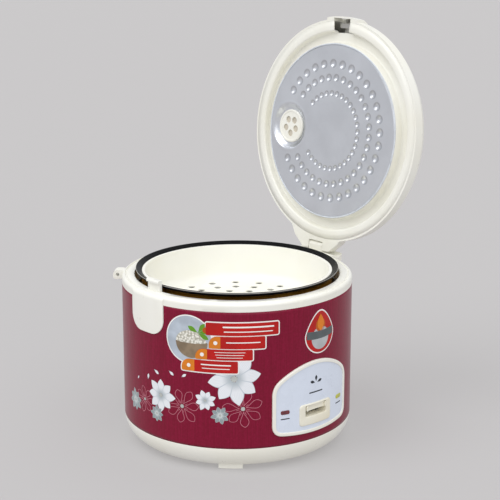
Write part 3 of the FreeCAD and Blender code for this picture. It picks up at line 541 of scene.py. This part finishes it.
pot = {
    "wall": 1.5, "corner": 25.0, "floorFlat": 12.0,
    "overhang": 6.2, "lip": 3.0, "drop": 3.4, "seat": 5.2,
    # below the top of the rim: the bare line's place and width, how soft its sides are,
    # and the radius within which all is black
    "bareEdge": 1.6, "bareLine": 0.7, "softEdge": 0.1, "lining": 105.0,
}


def makePot(finish):
    # floor and wall turned round the axis, then a flange that rises outwards to a blunt lip
    low, high = spanOf("inner_pot")
    bottom, top, rim = low[2], high[2], high[0]
    outside, wall, corner = rim - pot["overhang"], pot["wall"], pot["corner"]
    ledge, lipLow = top - pot["seat"], top - pot["lip"]
    flat = np.linspace(pot["floorFlat"], outside - corner - 4, 6)
    profile = np.concatenate([
        [(0, bottom)], np.stack([flat, np.full(6, bottom)], -1),
        arc((outside - corner, bottom + corner), corner, -90, 0, 14),
        eased([(outside, bottom + corner + 2), (outside, ledge - 3, 2.0),
               (rim - wall, lipLow, 0.5), (rim, lipLow, 0.25), (rim, top, 1.0),
               (outside - 0.1, top - pot["drop"], 0.8), (outside - 0.1, ledge, 0.3),
               (outside - wall, ledge, 0.3), (outside - wall, ledge - 2)], False),
        arc((outside - corner, bottom + corner), corner - wall, 0, -90, 14),
        np.stack([flat[::-1], np.full(6, bottom + wall)], -1),
        [(0, bottom + wall)],
    ])
    piece = surface("potShell", turned(profile), finish, "pot", loopColumns=True)
    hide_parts("inner_pot")


lidInside = {
    "plateThickness": 1.0,
    "plateEdge": 98.9,
    "ventAt": (-68.0, 2.0),
    "wellRadius": 27.0,
    "wellSlope": 5.5,
    "wellDepth": 5.2,
    "wellLip": 1.2,
    # ring radius, how many, dimple radius, how far it is pressed in
    "dimpleRings": ((77.5, 28, 5.8, 2.0), (61.5, 27, 5.0, 1.8), (43.5, 26, 4.0, 1.5)),
    "dimpleStep": 11.0,
}
closedRim = 188.3       # height of the closed lid's rim


def dimples(x, y):
    # how far inside its nearest dimple a point lies: 1 at the middle, 0 outside, with the
    # depth (1 - (d / r)^2)^2 of each dimple added up
    inside, depth = np.zeros(np.shape(x)), np.zeros(np.shape(x))
    for ring, count, radius, deep in lidInside["dimpleRings"]:
        turn = np.radians((np.arange(count) - (count - 1) / 2) * lidInside["dimpleStep"])
        for cx, cy in zip(ring * np.cos(turn), ring * np.sin(turn)):
            near = np.clip(1 - ((x - cx) ** 2 + (y - cy) ** 2) / radius ** 2, 0, 1)
            inside = np.maximum(inside, near)
            depth += deep * near ** 2
    return inside, depth


def plateRelief(x, y):
    # relief = well + dimples, where the well falls on a smooth step from its lip to its
    # floor. Into the lid is positive.
    v = lidInside
    away = np.hypot(x - v["ventAt"][0], y - v["ventAt"][1])
    fall = np.clip((v["wellRadius"] - away) / v["wellSlope"], 0, 1)
    relief = v["wellDepth"] * fall ** 1.15 * (1.6 - 0.6 * fall)
    relief -= 0.35 * np.exp(-((away - v["wellRadius"] - 1.6) / v["wellLip"]) ** 2)
    return relief + dimples(x, y)[1]


def makePlate(finish):
    # polar sheet, visible side and back joined at the rolled edge
    v = lidInside
    face = closedRim - 3.0
    edge = v["plateEdge"]
    radii = np.concatenate([np.linspace(0, 37, 12), np.linspace(38, 84, 62),
                            np.linspace(85.2, edge - 0.4, 11)])
    a = np.radians(np.linspace(0, 360, 480, endpoint=False))
    r = radii[:, None]
    x, y = r * np.cos(a), r * np.sin(a)
    front = face + plateRelief(x, y)
    edgeRing = np.stack([edge * np.cos(a), edge * np.sin(a),
                         np.full_like(a, face + 0.5)], -1)[None]
    visible = np.stack([x, y, front], -1)
    back = np.stack([x, y, front + v["plateThickness"]], -1)[::-1]
    grid = np.concatenate([visible, edgeRing, back])
    piece = surface("dimpledPlate", swung(grid), finish, "lid", loopColumns=True)
    points = np.empty(len(piece.data.vertices) * 3, np.float32)
    piece.data.vertices.foreach_get("co", points)
    flat = swung(points.reshape(-1, 3) / mm, -1)
    # mask of the dimples, read by the plate material's painted shade
    dimpleShadeMask = piece.data.attributes.new("dimpleShadeMask", "FLOAT", "POINT")
    dimpleShadeMask.data.foreach_set("value", dimples(flat[:, 0], flat[:, 1])[0].astype(np.float32))
    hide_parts("lid_plate")


gasket = {"gap": 0.12, "width": 1.9, "height": 1.3, "shoulder": 0.5, "below": 3.4}


def makeGasket(finish):
    # soft bead turned round the plate: a flat back and a rounded, slightly waisted front
    g = gasket
    inside = lidInside["plateEdge"] + g["gap"]
    outside, low = inside + g["width"], closedRim - g["below"]
    shoulder, high = low + g["shoulder"], low + g["height"]
    profile = eased([(inside, shoulder, 0.3), (inside + g["width"] / 2 - 0.05, low - 0.05, 0.6),
                     (outside, shoulder, 0.4), (outside, high, 0.3), (inside, high + 0.05, 0.2)])
    grid = turned(profile)
    piece = surface("plateSeal", swung(grid), finish, "lid", loopRows=True, loopColumns=True)
    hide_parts("lid_gasket")


baffle = {"radius": 12.5, "above": 1.08, "thick": 0.6, "edge": 0.2}


def makeBaffle(finish):
    # plain disc close behind the vent's holes
    radius, edge, low = baffle["radius"], baffle["edge"], closedRim + baffle["above"]
    high = low + baffle["thick"]
    profile = eased([(0, low), (radius, low, edge), (radius, high, edge), (0, high)], False)
    grid = turned(profile, centre=lidInside["ventAt"])
    piece = surface("ventBaffle", swung(grid), finish, "lid", loopColumns=True)


def makeShield(finish):
    # curved plate behind the lever's paddle that closes the window below it
    p = panel
    back, half = p["shieldBack"], np.degrees(p["shieldHalf"] / bodyRadius)
    rows = barPlan(-half, half, p["windowLow"] - 1.0, p["windowHigh"] - 1.0, 1.5)
    grid = foil(rows[None], back, back + 1.0)
    piece = surface("leverShield", grid, finish, "lever", loopColumns=True)


liner = {
    "wall": 1.5, "start": 96.6, "shelf": 101.0, "shelfDrop": 1.9, "height": 7.7,
    "mouth": 114.6, "seat": 119.0, "rim": 126.0, "slotReach": 1.9, "slotHalf": 11.8,
}


def makeLiner(finish):
    # channel over the pot's flange, turned from an eased profile; the catch's slot runs from
    # the channel's outer side right to the rim
    low, high = closedRim, closedRim + liner["height"]
    mouth, shelf, under = liner["mouth"], liner["shelf"], low - liner["shelfDrop"]
    profile = eased([
        (liner["start"], under), (shelf, under, 0.6), (shelf + 0.7, high, 3.0),
        (mouth - 1.0, high, 1.8), (mouth, low, 2.4), (liner["seat"], low, 0.1),
        (liner["rim"], low),
    ], False, 8)
    half = np.degrees(np.arcsin(liner["slotHalf"] / mouth))
    azimuths = np.concatenate([np.linspace(-half, half, 9)[:-1],
                               np.linspace(half, 360 - half, 281)[:-1]])

    def inSlot(points):
        flat = swung(points, -1)
        out = np.hypot(flat[:, 0], flat[:, 1])
        azimuth = np.degrees(np.arctan2(flat[:, 0], -flat[:, 1]))
        return (abs(azimuth) < half) & (out > mouth - liner["slotReach"])

    piece = surface("lidLiner", swung(turned(profile, azimuths)), finish, "lid",
                    loopColumns=True, drop=inSlot)
    wall = piece.modifiers.new("wall", "SOLIDIFY")
    wall.thickness, wall.offset = liner["wall"] * mm, -1
    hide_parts("lid_liner")


panel = {
    "azimuth": 89.0, "half": 53.2, "bottom": 37.0, "sideTop": 95.2, "top": 117.0,
    "corner": 11.0, "border": 4.0, "bezelLift": 2.6, "faceLift": 1.5,
    "frameHalf": 22.0, "frameLow": 46.0, "frameHigh": 70.0, "frameCorner": 4.5, "frameLift": 3.0,
    "windowHalf": 14.6, "windowLow": 55.9, "windowHigh": 68.1, "windowCorner": 1.8,
    "shieldBack": -12.0, "shieldHalf": 13.6,
    "lampSpread": 17.41, "lampHeight": 65.5, "lampHalf": 5.2, "lampTall": 2.3,
}


def archedOutline():
    # rounded quadrilateral whose top and bottom are arcs of circles, counter-clockwise
    p = panel
    across = np.linspace(-1, 1, 41)
    rise = p["top"] - p["sideTop"]
    drop = 3.4
    topEdge = [(p["half"] * u, p["sideTop"] + rise * (1 - u * u)) for u in across[::-1]]
    lowEdge = [(p["half"] * u, p["bottom"] + drop * u * u) for u in across]
    ease = p["corner"]
    keepTop = [q for q in topEdge if abs(q[0]) < p["half"] - ease]
    keepLow = [q for q in lowEdge if abs(q[0]) < p["half"] - ease]
    corners = ([keepLow[-1]] + [(p["half"], p["bottom"] + drop, ease)]
               + [(p["half"], p["sideTop"], ease)] + [keepTop[0]])
    right = eased(corners, False, 12)
    left = right * (-1, 1)
    return np.concatenate([keepLow[:-1], right, keepTop[1:], left[::-1][1:-1]])


def roundedBox(half, low, high, corner, steps=10):
    return eased([(half, low, corner), (half, high, corner), (-half, high, corner),
                  (-half, low, corner)], True, steps)


def outward(path):
    # unit normals of a closed counter-clockwise path
    step = np.roll(path, -1, 0) - np.roll(path, 1, 0)
    step /= np.linalg.norm(step, axis=1)[:, None]
    return np.stack([step[:, 1], -step[:, 0]], -1)


def evenly(path, count):
    # the same closed path at equal steps of length
    ring = np.concatenate([path, path[:1]])
    length = np.concatenate([[0], np.cumsum(np.linalg.norm(np.diff(ring, axis=0), axis=1))])
    at = np.linspace(0, length[-1], count, endpoint=False)
    return np.stack([np.interp(at, length, ring[:, k]) for k in (0, 1)], -1)


def seenFrom(path, centre, angles):
    # radius of a star-shaped path about a centre at each angle, as points
    away = evenly(path, 900) - centre
    turn = np.arctan2(away[:, 1], away[:, 0])
    order = np.argsort(turn)
    reach = np.interp(angles, turn[order], np.hypot(*away.T)[order], period=2 * np.pi)
    return centre + reach[:, None] * np.stack([np.cos(angles), np.sin(angles)], -1)


def onPanel(plan, lift):
    return wrapped(plan, lift, panel["azimuth"], 0.0)


def makeBezel(finish):
    # half-round border carried along the panel's outline: inset and lift follow the section
    path = evenly(archedOutline(), 300)
    normal = outward(path)
    b, lift = panel["border"], panel["bezelLift"]
    section = eased([(0, 0.1, 0.05), (0, lift, 1.3), (-b, lift, 0.9), (-b, 0.1, 0.05)], True, 8)
    plan = path[None] + normal[None] * section[:, None, :1]
    grid = onPanel(plan, section[:, 1:2])
    piece = surface("panelBorder", grid, finish, "housing", loopRows=True, loopColumns=True)
    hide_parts("panel_bezel")


def makeFace(finish):
    # sheet between the lever frame and the border, lofted in straight lines between them
    centre = np.array([0.0, (panel["frameLow"] + panel["frameHigh"]) / 2])
    angles = np.linspace(-np.pi, np.pi, 360, endpoint=False)
    path = evenly(archedOutline(), 400)
    outer = seenFrom(path - outward(path) * (panel["border"] - 0.3), centre, angles)
    inner = seenFrom(roundedBox(panel["frameHalf"] - 1.2, panel["frameLow"] + 1.2,
                                panel["frameHigh"] - 1.2, 3.4), centre, angles)
    s = np.linspace(0, 1, 18)[:, None, None]
    plan = inner + s * (outer - inner)
    top, under = panel["faceLift"], 0.15
    grid = np.concatenate([onPanel(plan, top), onPanel(plan[::-1], under)])
    piece = surface("panelFace", grid, finish, "housing", loopRows=True, loopColumns=True)
    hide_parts("panel_face")


def makeLeverFrame(finish):
    # lofted through rings: outer edge, rounded shoulder, dished middle, window edge, funnel
    p = panel
    angles = np.linspace(-np.pi, np.pi, 240, endpoint=False)
    centre = np.array([0.0, (p["windowLow"] + p["windowHigh"]) / 2])
    lift = p["frameLift"]

    def outerRing(inset):
        return seenFrom(roundedBox(p["frameHalf"] - inset, p["frameLow"] + inset,
                                   p["frameHigh"] - inset, p["frameCorner"] - inset), centre, angles)

    def windowRing(grow):
        return seenFrom(roundedBox(p["windowHalf"] + grow, p["windowLow"] - grow,
                                   p["windowHigh"] + grow, p["windowCorner"] + grow), centre, angles)

    rings = [(outerRing(0), 0.1), (outerRing(0), lift - 1.2), (outerRing(0.25), lift - 0.5),
             (outerRing(0.8), lift - 0.1), (outerRing(1.3), lift), (windowRing(1.0), lift - 0.05),
             (windowRing(0.5), lift - 0.2), (windowRing(0.12), lift - 0.6),
             (windowRing(0), lift - 1.4), (windowRing(0), -8.0), (windowRing(1.2), -8.0),
             (windowRing(1.2), 0.1)]
    grid = np.stack([onPanel(ring, height) for ring, height in rings])
    piece = surface("leverFrame", grid, finish, "housing", loopRows=True, loopColumns=True)
    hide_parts("lever_bezel")


def makeLamp(name, node, side, finish):
    # pill-shaped lens: from its outline the lift rises as a shallow dome
    outline = evenly(roundedBox(panel["lampHalf"], -panel["lampTall"], panel["lampTall"], 2.2), 64)
    s = np.array([1, 1, 0.94, 0.8, 0.6, 0.35, 0])[:, None, None]
    lift = np.array([-3.0, 1.5, 1.95, 2.15, 2.28, 2.36, 2.4])[:, None]
    back = np.array([-3.0])[:, None]
    plan = np.concatenate([outline[None] * 0, outline * s])
    azimuth = panel["azimuth"] + side * panel["lampSpread"]
    grid = wrapped(plan, np.concatenate([back, lift]), azimuth, panel["lampHeight"])
    piece = surface(name, grid, finish, "housing", loopColumns=True)
    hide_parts(node)


prints = {
    "thick": 0.09, "step": 0.1, "lineHalf": 0.25, "lineRoot": 0.16,
    # azimuth, height, radius, petals, turn, kind
    "flowers": (
        (47.2, 106.3, 28.5, 8, 10, "white"), (9.3, 78.0, 18.5, 8, 0, "white"),
        (33.4, 81.0, 11.5, 8, 20, "white"), (-11.1, 60.5, 12.5, 8, 12, "grey"),
        (6.4, 55.8, 9.5, 8, 0, "grey"),
        (40.5, 65.4, 10.0, 8, 15, "grey"),
        (21.6, 71.2, 19.5, 7, 5, "line"), (51.3, 73.0, 20.5, 7, 20, "line"),
        (-2.4, 66.9, 14.5, 7, 0, "line"),
    ),
    # azimuth, height, length, turn
    "loosePetals": ((-8.4, 86.0, 5.0, 60), (0.4, 91.0, 7.0, 80), (5.0, 105.0, 8.0, -30),
                    (14.4, 108.0, 7.5, -35), (21.4, 103.5, 7.0, 35)),
}


def foil(plan, low, high, azimuth=panel["azimuth"], height=0.0):
    # a thin closed sheet over plan[..., rows, columns, 2]: top forwards, underside back, and
    # its first and last rows drawn to a point so that both ends are shut
    top = wrapped(plan, high, azimuth, height)
    under = wrapped(plan[..., ::-1, :], low, azimuth, height)
    sheet = np.concatenate([top, under], -2)
    first, last = sheet[..., :1, :, :], sheet[..., -1:, :, :]
    columns = np.ones((1, sheet.shape[-2], 1))
    return np.concatenate([first.mean(-2, keepdims=True) * columns, sheet,
                           last.mean(-2, keepdims=True) * columns], -3)


def foilUv(rows, columns):
    s = np.concatenate([[0], np.linspace(0, 1, rows), [1]])
    c = np.linspace(0, 1, columns)
    both = np.concatenate([c, c[::-1]])
    return np.stack(np.broadcast_arrays(s[:, None], both[None]), -1)


def petalPlan(length, width, turns, rows=14, columns=7, root=0.12, point=1.4, fan=None):
    # half width w sin(pi s^point) at s along the petal, or where the petals of a flower meet,
    # the smaller of fan r and w (1 - t^2.2), with t growing over the outer half
    s = np.linspace(0, 1, rows)
    reach = root + (1 - root) * s
    half = width / 2 * np.sin(np.pi * s ** point)
    if fan:
        tip = np.clip((reach - 0.5) / 0.5, 0, 1)
        half = np.minimum(fan * reach * length, width / 2 * (1 - tip ** 2.2))
    along = length * reach[:, None]
    across = half[:, None] * np.linspace(-1, 1, columns)
    turn = np.radians(turns)[:, None, None]
    u = along * np.cos(turn) - across * np.sin(turn)
    v = along * np.sin(turn) + across * np.cos(turn)
    return np.stack([u, v], -1)


def printed(name, grid, finish, **options):
    piece = surface(name, grid, finish, "housing", loopColumns=True, **options)


def makeFlowers(finish):
    low, thick = prints["step"], prints["thick"]
    petals = {"white": [], "grey": []}
    hearts, ribbons, stamens = [], [], []
    for k, (azimuth, height, radius, count, turn, kind) in enumerate(prints["flowers"]):
        # a petal's length swings a little round the flower, from a fixed wave
        turns = turn + np.arange(count) * 360 / count
        reach = radius * (1 + 0.06 * np.sin(np.arange(count) * 2.4 + k))
        width = radius * {"line": 0.44, "grey": 0.5, "white": 0.55}[kind]
        if kind == "line":
            ribbons += [petalLine(azimuth, height, length, width, angle, low + thick / 2)
                        for angle, length in zip(turns, reach)]
            tips = petalPlan(radius * 0.4, 0.5, turns + 22, root=0.3)
            stamens.append(foil(tips, low, low + thick, azimuth, height))
            hearts.append(heart(azimuth, height, radius * 0.11, low))
            continue
        lift = low + 0.5 * thick * (np.arange(count) % 2)[:, None, None]
        plan = np.concatenate([
            petalPlan(length, width, turns[n:n + 1], fan=0.43) for n, length in enumerate(reach)])
        petals[kind].append(foil(plan, low, lift + thick, azimuth, height))
        hearts.append(heart(azimuth, height, radius * 0.12, low + 1.5 * thick))
    for azimuth, height, length, turn in prints["loosePetals"]:
        plan = petalPlan(length, length * 0.42, np.array([turn]), root=0.0)
        petals["white"].append(foil(plan, low, low + thick, azimuth, height))
    for kind, sheets in petals.items():
        printed(kind + "Petals", np.concatenate(sheets), finish[kind], uv=foilUv(14, 7))
    printed("lineStamens", np.concatenate(stamens), finish["line"])
    printed("linePetals", np.stack(ribbons), finish["line"], loopRows=True)
    printed("flowerHearts", np.stack(hearts), finish["heart"])


def petalLine(azimuth, height, length, width, turn, lift):
    # the petal's outline as a ribbon: its edge moved half a line's width either way, where
    # the half width at s along it is w sin(pi s^1.7)^0.8
    line = prints["lineHalf"]
    t = np.linspace(0, 2 * np.pi, 44, endpoint=False)
    s = (1 - np.cos(t)) / 2
    side = np.where(t < np.pi, 1, -1)
    half = width / 2 * np.sin(np.pi * s ** 1.7) ** 0.8
    root = prints["lineRoot"]
    edge = np.stack([length * (root + (1 - root) * s), side * half], -1)
    c, d = np.cos(np.radians(turn)), np.sin(np.radians(turn))
    edge = edge @ np.array([[c, d], [-d, c]])
    normal = outward(edge)
    section = ((-line, prints["step"]), (line, prints["step"]), (line, lift), (-line, lift))
    return np.stack([wrapped(edge + normal * out, high, azimuth, height)
                     for out, high in section])


def heart(azimuth, height, radius, lift):
    # a low domed button, scalloped by r (1 + 0.12 cos 8a)
    a = np.linspace(0, 2 * np.pi, 32, endpoint=False)
    s = np.array([0, 1, 1, 0.7, 0.35, 0])[:, None]
    rise = np.array([0.0, 0.0, 0.06, 0.09, 0.1, 0.1])[:, None] + lift
    out = s * radius * (1 + 0.12 * np.cos(8 * a))
    return wrapped(np.stack([out * np.cos(a), out * np.sin(a)], -1), rise, azimuth, height)


label = {
    "discAt": (25.3, 146.6), "discRadius": 25.2, "outline": 1.3, "corner": 1.4,
    # left and right azimuth, low, high, roundness of the upper left corner
    "bars": ((34.0, 68.2, 153.2, 166.8, 1.4), (35.4, 61.8, 138.9, 152.2, 9.0),
             (28.8, 55.9, 126.4, 138.0, 9.0), (21.8, 49.0, 112.4, 125.4, 9.0)),
    "tabs": ((35.4, 40.9, 138.9, 152.0, 9.0), (28.8, 34.6, 126.4, 137.8, 9.0),
             (21.8, 28.3, 112.4, 125.4, 9.0)),
    # left and right azimuth, low, high, how many
    "rules": ((42, 66, 154.9, 165.0, 2), (43.5, 59.5, 143, 148.5, 1), (38, 52.5, 127.8, 136.4, 3),
              (31.5, 45.8, 114.8, 122.8, 2)),
}


def barPlan(left, right, low, high, corner, upperLeft=None, grow=0.0, rows=26, columns=24):
    # rounded rectangle as rows of straight lines: an end steps in by r - sqrt(r^2 - d^2),
    # where d is how far the row lies inside its corner
    upperLeft = corner if upperLeft is None else upperLeft
    v = (low + high) / 2 - np.cos(np.linspace(0, np.pi, rows)) * ((high - low) / 2 + grow)

    def stepIn(radius, edge):
        d = np.clip(radius - abs(v - edge), 0, radius)
        return radius - np.sqrt(radius ** 2 - d ** 2)

    bottom, top = low - grow, high + grow
    square = stepIn(corner + grow, bottom)
    start = np.radians(left) * bodyRadius - grow + square + stepIn(upperLeft + grow, top)
    end = np.radians(right) * bodyRadius + grow - square - stepIn(corner + grow, top)
    u = start[:, None] + (end - start)[:, None] * np.linspace(0, 1, columns)
    return np.stack([u, np.broadcast_to(v[:, None], u.shape)], -1)


def rowsPlan(azimuth, height, v, w, columns):
    # rows at v, each reaching w to either side of the azimuth
    u = np.radians(azimuth) * bodyRadius + w[:, None] * np.linspace(-1, 1, columns)
    return np.stack([u, np.broadcast_to(height + v[:, None], u.shape)], -1)


def discPlan(azimuth, height, radius, rows=28, columns=24):
    # circle of radius r: w = sqrt(r^2 - v^2)
    v = -np.cos(np.linspace(0, np.pi, rows)) * radius
    return rowsPlan(azimuth, height, v, np.sqrt(np.clip(radius ** 2 - v ** 2, 0, None)), columns)


def sticker(name, plans, level, finish):
    # sheets of one colour at one level above the sleeve
    low = prints["step"]
    high = low + prints["thick"] * level
    grids = [foil(plan, low, high, 0.0) for plan in plans]
    printed(name, np.concatenate([g.reshape(-1, *g.shape[-3:]) for g in grids]), finish)


def makeLabel(finish):
    # stepped bars beside a disc; where lettering would be there are plain rules
    o, corner = label["outline"], label["corner"]
    at, radius = label["discAt"], label["discRadius"]

    def bars(kind, grow=0.0):
        return [barPlan(*bar[:4], corner, bar[4], grow) for bar in label[kind]]

    sticker("labelEdgeBars", bars("bars", o), 2.0, finish["edge"])
    sticker("labelEdgeDisc", [discPlan(*at, radius + o)], 1.6, finish["edge"])
    sticker("labelDisc", [discPlan(*at, radius)], 2.4, finish["disc"])
    makePicture(finish, at)
    sticker("labelBars", bars("bars"), 4.4, finish["red"])
    sticker("labelTabs", bars("tabs"), 5.2, finish["orange"])
    rules = []
    for left, right, low, high, count in label["rules"]:
        pitch = (high - low) / count
        for k in range(count):
            y, tall = high - pitch * (k + 0.5), pitch * (0.32 if count == 2 and k == 0 else 0.2)
            rules.append(barPlan(left + 0.5 * k, right - 0.6 * k, y - tall / 2, y + tall / 2,
                                 tall * 0.45))
    sticker("labelRules", rules, 5.2, finish["edge"])
    sticker("labelSpots", [discPlan((tab[0] + tab[1]) / 2 + 0.4, (tab[2] + tab[3]) / 2 - 0.4, 2.1)
                           for tab in label["tabs"]], 6.0, finish["edge"])


picture = {
    # from the disc's middle, azimuth and height, then radius
    "bowl": (1.5, -3.0, 18.0), "heap": (1.2, -2.4, 17.0), "fruit": (8.6, 11.5, 3.2),
    # from the disc's middle, across and height, then length, width and turns
    "leaves": (11, 8, 13.0, 5.0, (-30.0, 12.0, 55.0, 150.0)),
}


def domed(at, place, above, below):
    # a disc whose upper and lower halves are flattened by their own factors
    azimuth, height, radius = place
    plan = discPlan(at[0] + azimuth, 0.0, radius)
    v = plan[..., 1]
    plan[..., 1] = at[1] + height + np.where(v > 0, above * v, below * v)
    return plan


def makePicture(finish, at):
    # on the disc: a bowl, its heap, leaves and a fruit, each a plain rounded form
    sticker("pictureBowl", [domed(at, picture["bowl"], 0.12, 0.95)], 3.2, finish["bowl"])
    sticker("pictureHeap", [domed(at, picture["heap"], 0.72, 0.1)], 3.4, finish["grain"])
    across, up, length, width, turns = picture["leaves"]
    leaves = petalPlan(length, width, np.array(turns), root=0.0)
    leaves = leaves + (np.radians(at[0]) * bodyRadius + across, at[1] + up)
    sticker("pictureLeaves", [leaves], 3.8, finish["leaf"])
    azimuth, up, radius = picture["fruit"]
    sticker("pictureFruit", [discPlan(at[0] + azimuth, at[1] + up, radius)], 4.0,
            finish["orangeDeep"])


badge = {
    "at": (92.0, 144.6), "radius": 20.4, "tail": 25.0, "edge": 1.3, "edgeTail": 1.6,
    "innerBelow": 4.4, "innerShare": 0.62,
    # half across (degrees), low, high, corner, and how much it curves up at its ends
    "band": (8.6, -5.2, 3.2, 0.8, 0.004),
    "flame": (18.5, 10.0, 3.4), "spot": (9.5, 7.2),
}


def dropPlan(azimuth, height, radius, tail, rows=30, columns=18):
    # disc drawn up to a blunt point: width r sqrt(1 - s^2), narrowing towards the top
    s = -np.cos(np.linspace(0, np.pi, rows))
    v = np.where(s < 0, radius * s, tail * s)
    w = radius * np.sqrt(np.clip(1 - s ** 2, 0, None)) * np.where(s > 0, 1 - 0.34 * s, 1)
    return rowsPlan(azimuth, height, v, w, columns)


def makeBadge(finish):
    # drop-shaped field with a disc, a band curved as k u^2 and a flame
    (azimuth, height), r, tail = badge["at"], badge["radius"], badge["tail"]
    u = np.radians(azimuth) * bodyRadius
    edge = dropPlan(azimuth, height, r + badge["edge"], tail + badge["edgeTail"])
    sticker("badgeEdge", [edge], 1.6, finish["edge"])
    sticker("badgeField", [dropPlan(azimuth, height, r, tail)], 2.6, finish["red"])
    inner = discPlan(azimuth, height - badge["innerBelow"], r * badge["innerShare"])
    sticker("badgeInner", [inner], 3.4, finish["silver"])
    half, low, high, corner, curve = badge["band"]
    band = barPlan(azimuth - half, azimuth + half, height + low, height + high, corner)
    band[..., 1] += curve * (band[..., 0] - u) ** 2
    sticker("badgeBand", [band], 4.4, finish["band"])
    length, width, up = badge["flame"]
    flame = petalPlan(length, width, np.array([90.0]), root=0.0, point=0.8) + (u, height + up)
    up, radius = badge["spot"]
    sticker("badgeSpot", [discPlan(azimuth, height + up, radius)], 3.4, finish["orangeDeep"])
    sticker("badgeFlame", [flame], 5.2, finish["orange"])


marks = {
    "sprigHeight": 91.5, "grain": (8.5, 3.2), "grainTurns": (18.0, 90.0, 162.0),
    # across, height, half length, half thickness
    "pills": ((0, 81.5, 9.5, 0.7), (-38.9, 58.2, 5.2, 0.6), (38.9, 58.2, 5.2, 0.6)),
    "rows": 12, "columns": 6,
}


def makeMarks(finish):
    # on the panel: a sprig of three grains, and pills in place of lettering, whose half
    # length is h - t + t sqrt(1 - s^2)
    low, high = panel["faceLift"] - 0.05, panel["faceLift"] + 0.08
    size = marks["rows"], marks["columns"]
    grains = petalPlan(*marks["grain"], np.array(marks["grainTurns"]), *size, root=0.16)
    grains = grains + (0, marks["sprigHeight"])
    sheets = [foil(grains, low, high)]
    s = np.linspace(-1, 1, size[0])
    for u, v, half, tall in marks["pills"]:
        w = half - tall + tall * np.sqrt(1 - s ** 2)
        plan = np.stack([w[:, None] * np.linspace(-1, 1, size[1]),
                         np.broadcast_to(s[:, None] * tall, size)], -1) + (u, v)
        sheets.append(foil(plan[None], low, high))
    printed("panelMarks", np.concatenate(sheets), finish)


# CAD piece, its new name, slot, body, width of the rounded edges
softEdges = (
    ("upper_ring", "upperRing", "cream_plastic", "housing", 0.4),
    ("latch_catch", "latchCatch", "cream_plastic", "housing", 0.5),
    ("base_cover", "baseCover", "cream_plastic", "housing", 0.4),
    ("foot_pads", "footPads", "foot_rubber", "housing", 0.4),
    ("inlet_socket", "inletSocket", "black_plastic", "housing", 0.4),
    ("cook_lever", "cookLever", "lever_plastic", "lever", 0.35),
    ("steamer_basket", "steamerBasket", "basket_plastic", "basket", 0.4),
    ("lid_cover", "lidCover", "cream_plastic", "lid", 0.4),
    ("vent_disc", "ventDisc", "cream_plastic", "lid", 0.35),
    ("vent_cap", "ventCap", "cream_plastic", "steam_cap", 0.35),
    ("latch_button", "latchButton", "cream_plastic", "button", 0.35),
    ("latch_bolt", "latchBolt", "plated_steel", "bolt", 0.2),
)


# CAD spring, its new name, body, joint that presses it, how far (mm)
springs = (
    ("sensor_spring", "sensorSpring", "housing", "sensor_press", 3.2),
    ("latch_spring", "latchSpring", "lid", "latch_press", 2.5),
)


def makeSprings(finish):
    # copies of the coils
    for node, name, body, joint, travel in springs:
        if body == "lid":
            ends = swung(np.array([[0.0, 0, 0], [0, -1, 0]]))
        piece = shown(name, frame["nodes"][node].data.copy(), finish, body)
        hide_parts(node)
        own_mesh(piece)


def makeFloor():
    half = studio["floorSize"] / 2
    t = np.linspace(-half, half, 25) / mm
    x, y = np.meshgrid(t, t, indexing="ij")
    mesh = bpy.data.meshes.new("studioFloor")
    points = np.stack([x, y, 0 * x], -1).reshape(-1, 3) * mm
    i, j = np.meshgrid(np.arange(24), np.arange(24), indexing="ij")
    cell = np.stack([i * 25 + j, i * 25 + j + 25, i * 25 + j + 26, i * 25 + j + 1], -1)
    mesh.from_pydata(points, [], cell.reshape(-1, 4).tolist())
    mesh.materials.append(floorFinish().material)
    floor = bpy.data.objects.new("studioFloor", mesh)
    bpy.context.scene.collection.objects.link(floor)


makeStudio()
makeFloor()
print("studio ready")
finish = makeFinishes()
for node, piece in frame["nodes"].items():
    slotName = piece.data.materials[0].name.split(".")[0]
    piece.data.materials[0] = finish[slotName].material
print("finishes on the CAD pieces")
makeSleeve(finish["coloured_steel"])
makePot(finish["pot_coating"])
for node, name, slotName, body, width in softEdges:
    softened(node, name, finish[slotName], body, width)
print("body and shells ready")
makeSprings(finish["plated_steel"])
makePlate(plateFinish("dimpleShadedPlate", finishes["aluminium"]))
makeGasket(finish["gasket_rubber"])
makeBaffle(printFinish("baffle", rgb(214, 206, 190), 0.85))
makeLiner(finish["cream_plastic"])
print("lid inside ready")
makeBezel(finish["cream_plastic"])
makeFace(finish["panel_print"])
makeLeverFrame(finish["lever_plastic"])
makeShield(finish["lever_plastic"])
makeLamp("cookLamp", "cook_lamp", -1, finish["red_lens"])
makeLamp("warmLamp", "warm_lamp", 1, finish["yellow_lens"])
print("panel ready")
inks = {
    "white": petalFinish("whitePetal", rgb(180, 190, 196), rgb(240, 243, 248), rgb(192, 202, 212)),
    "grey": petalFinish("greyPetal", rgb(206, 214, 214), rgb(138, 152, 156), rgb(216, 224, 224)),
    "line": printFinish("lineInk", rgb(212, 130, 146)),
    "heart": printFinish("heartInk", rgb(196, 200, 196)),
    "edge": printFinish("whiteInk", rgb(248, 247, 244), 0.96),
    "red": printFinish("redInk", rgb(196, 18, 12)),
    "orange": printFinish("orangeInk", rgb(232, 134, 30)),
    "orangeDeep": printFinish("deepOrangeInk", rgb(196, 92, 16)),
    "disc": printFinish("pictureInk", rgb(196, 206, 218), 0.75),
    "bowl": printFinish("bowlInk", rgb(158, 138, 112), 0.6),
    "grain": grainFinish("riceInk"),
    "leaf": printFinish("leafInk", rgb(110, 168, 44)),
    "silver": printFinish("silverInk", rgb(196, 200, 202)),
    "band": printFinish("bandInk", rgb(96, 104, 106)),
}
makeFlowers(inks)
makeLabel(inks)
makeBadge(inks)
makeMarks(printFinish("markInk", rgb(44, 50, 58)))
print("prints ready")
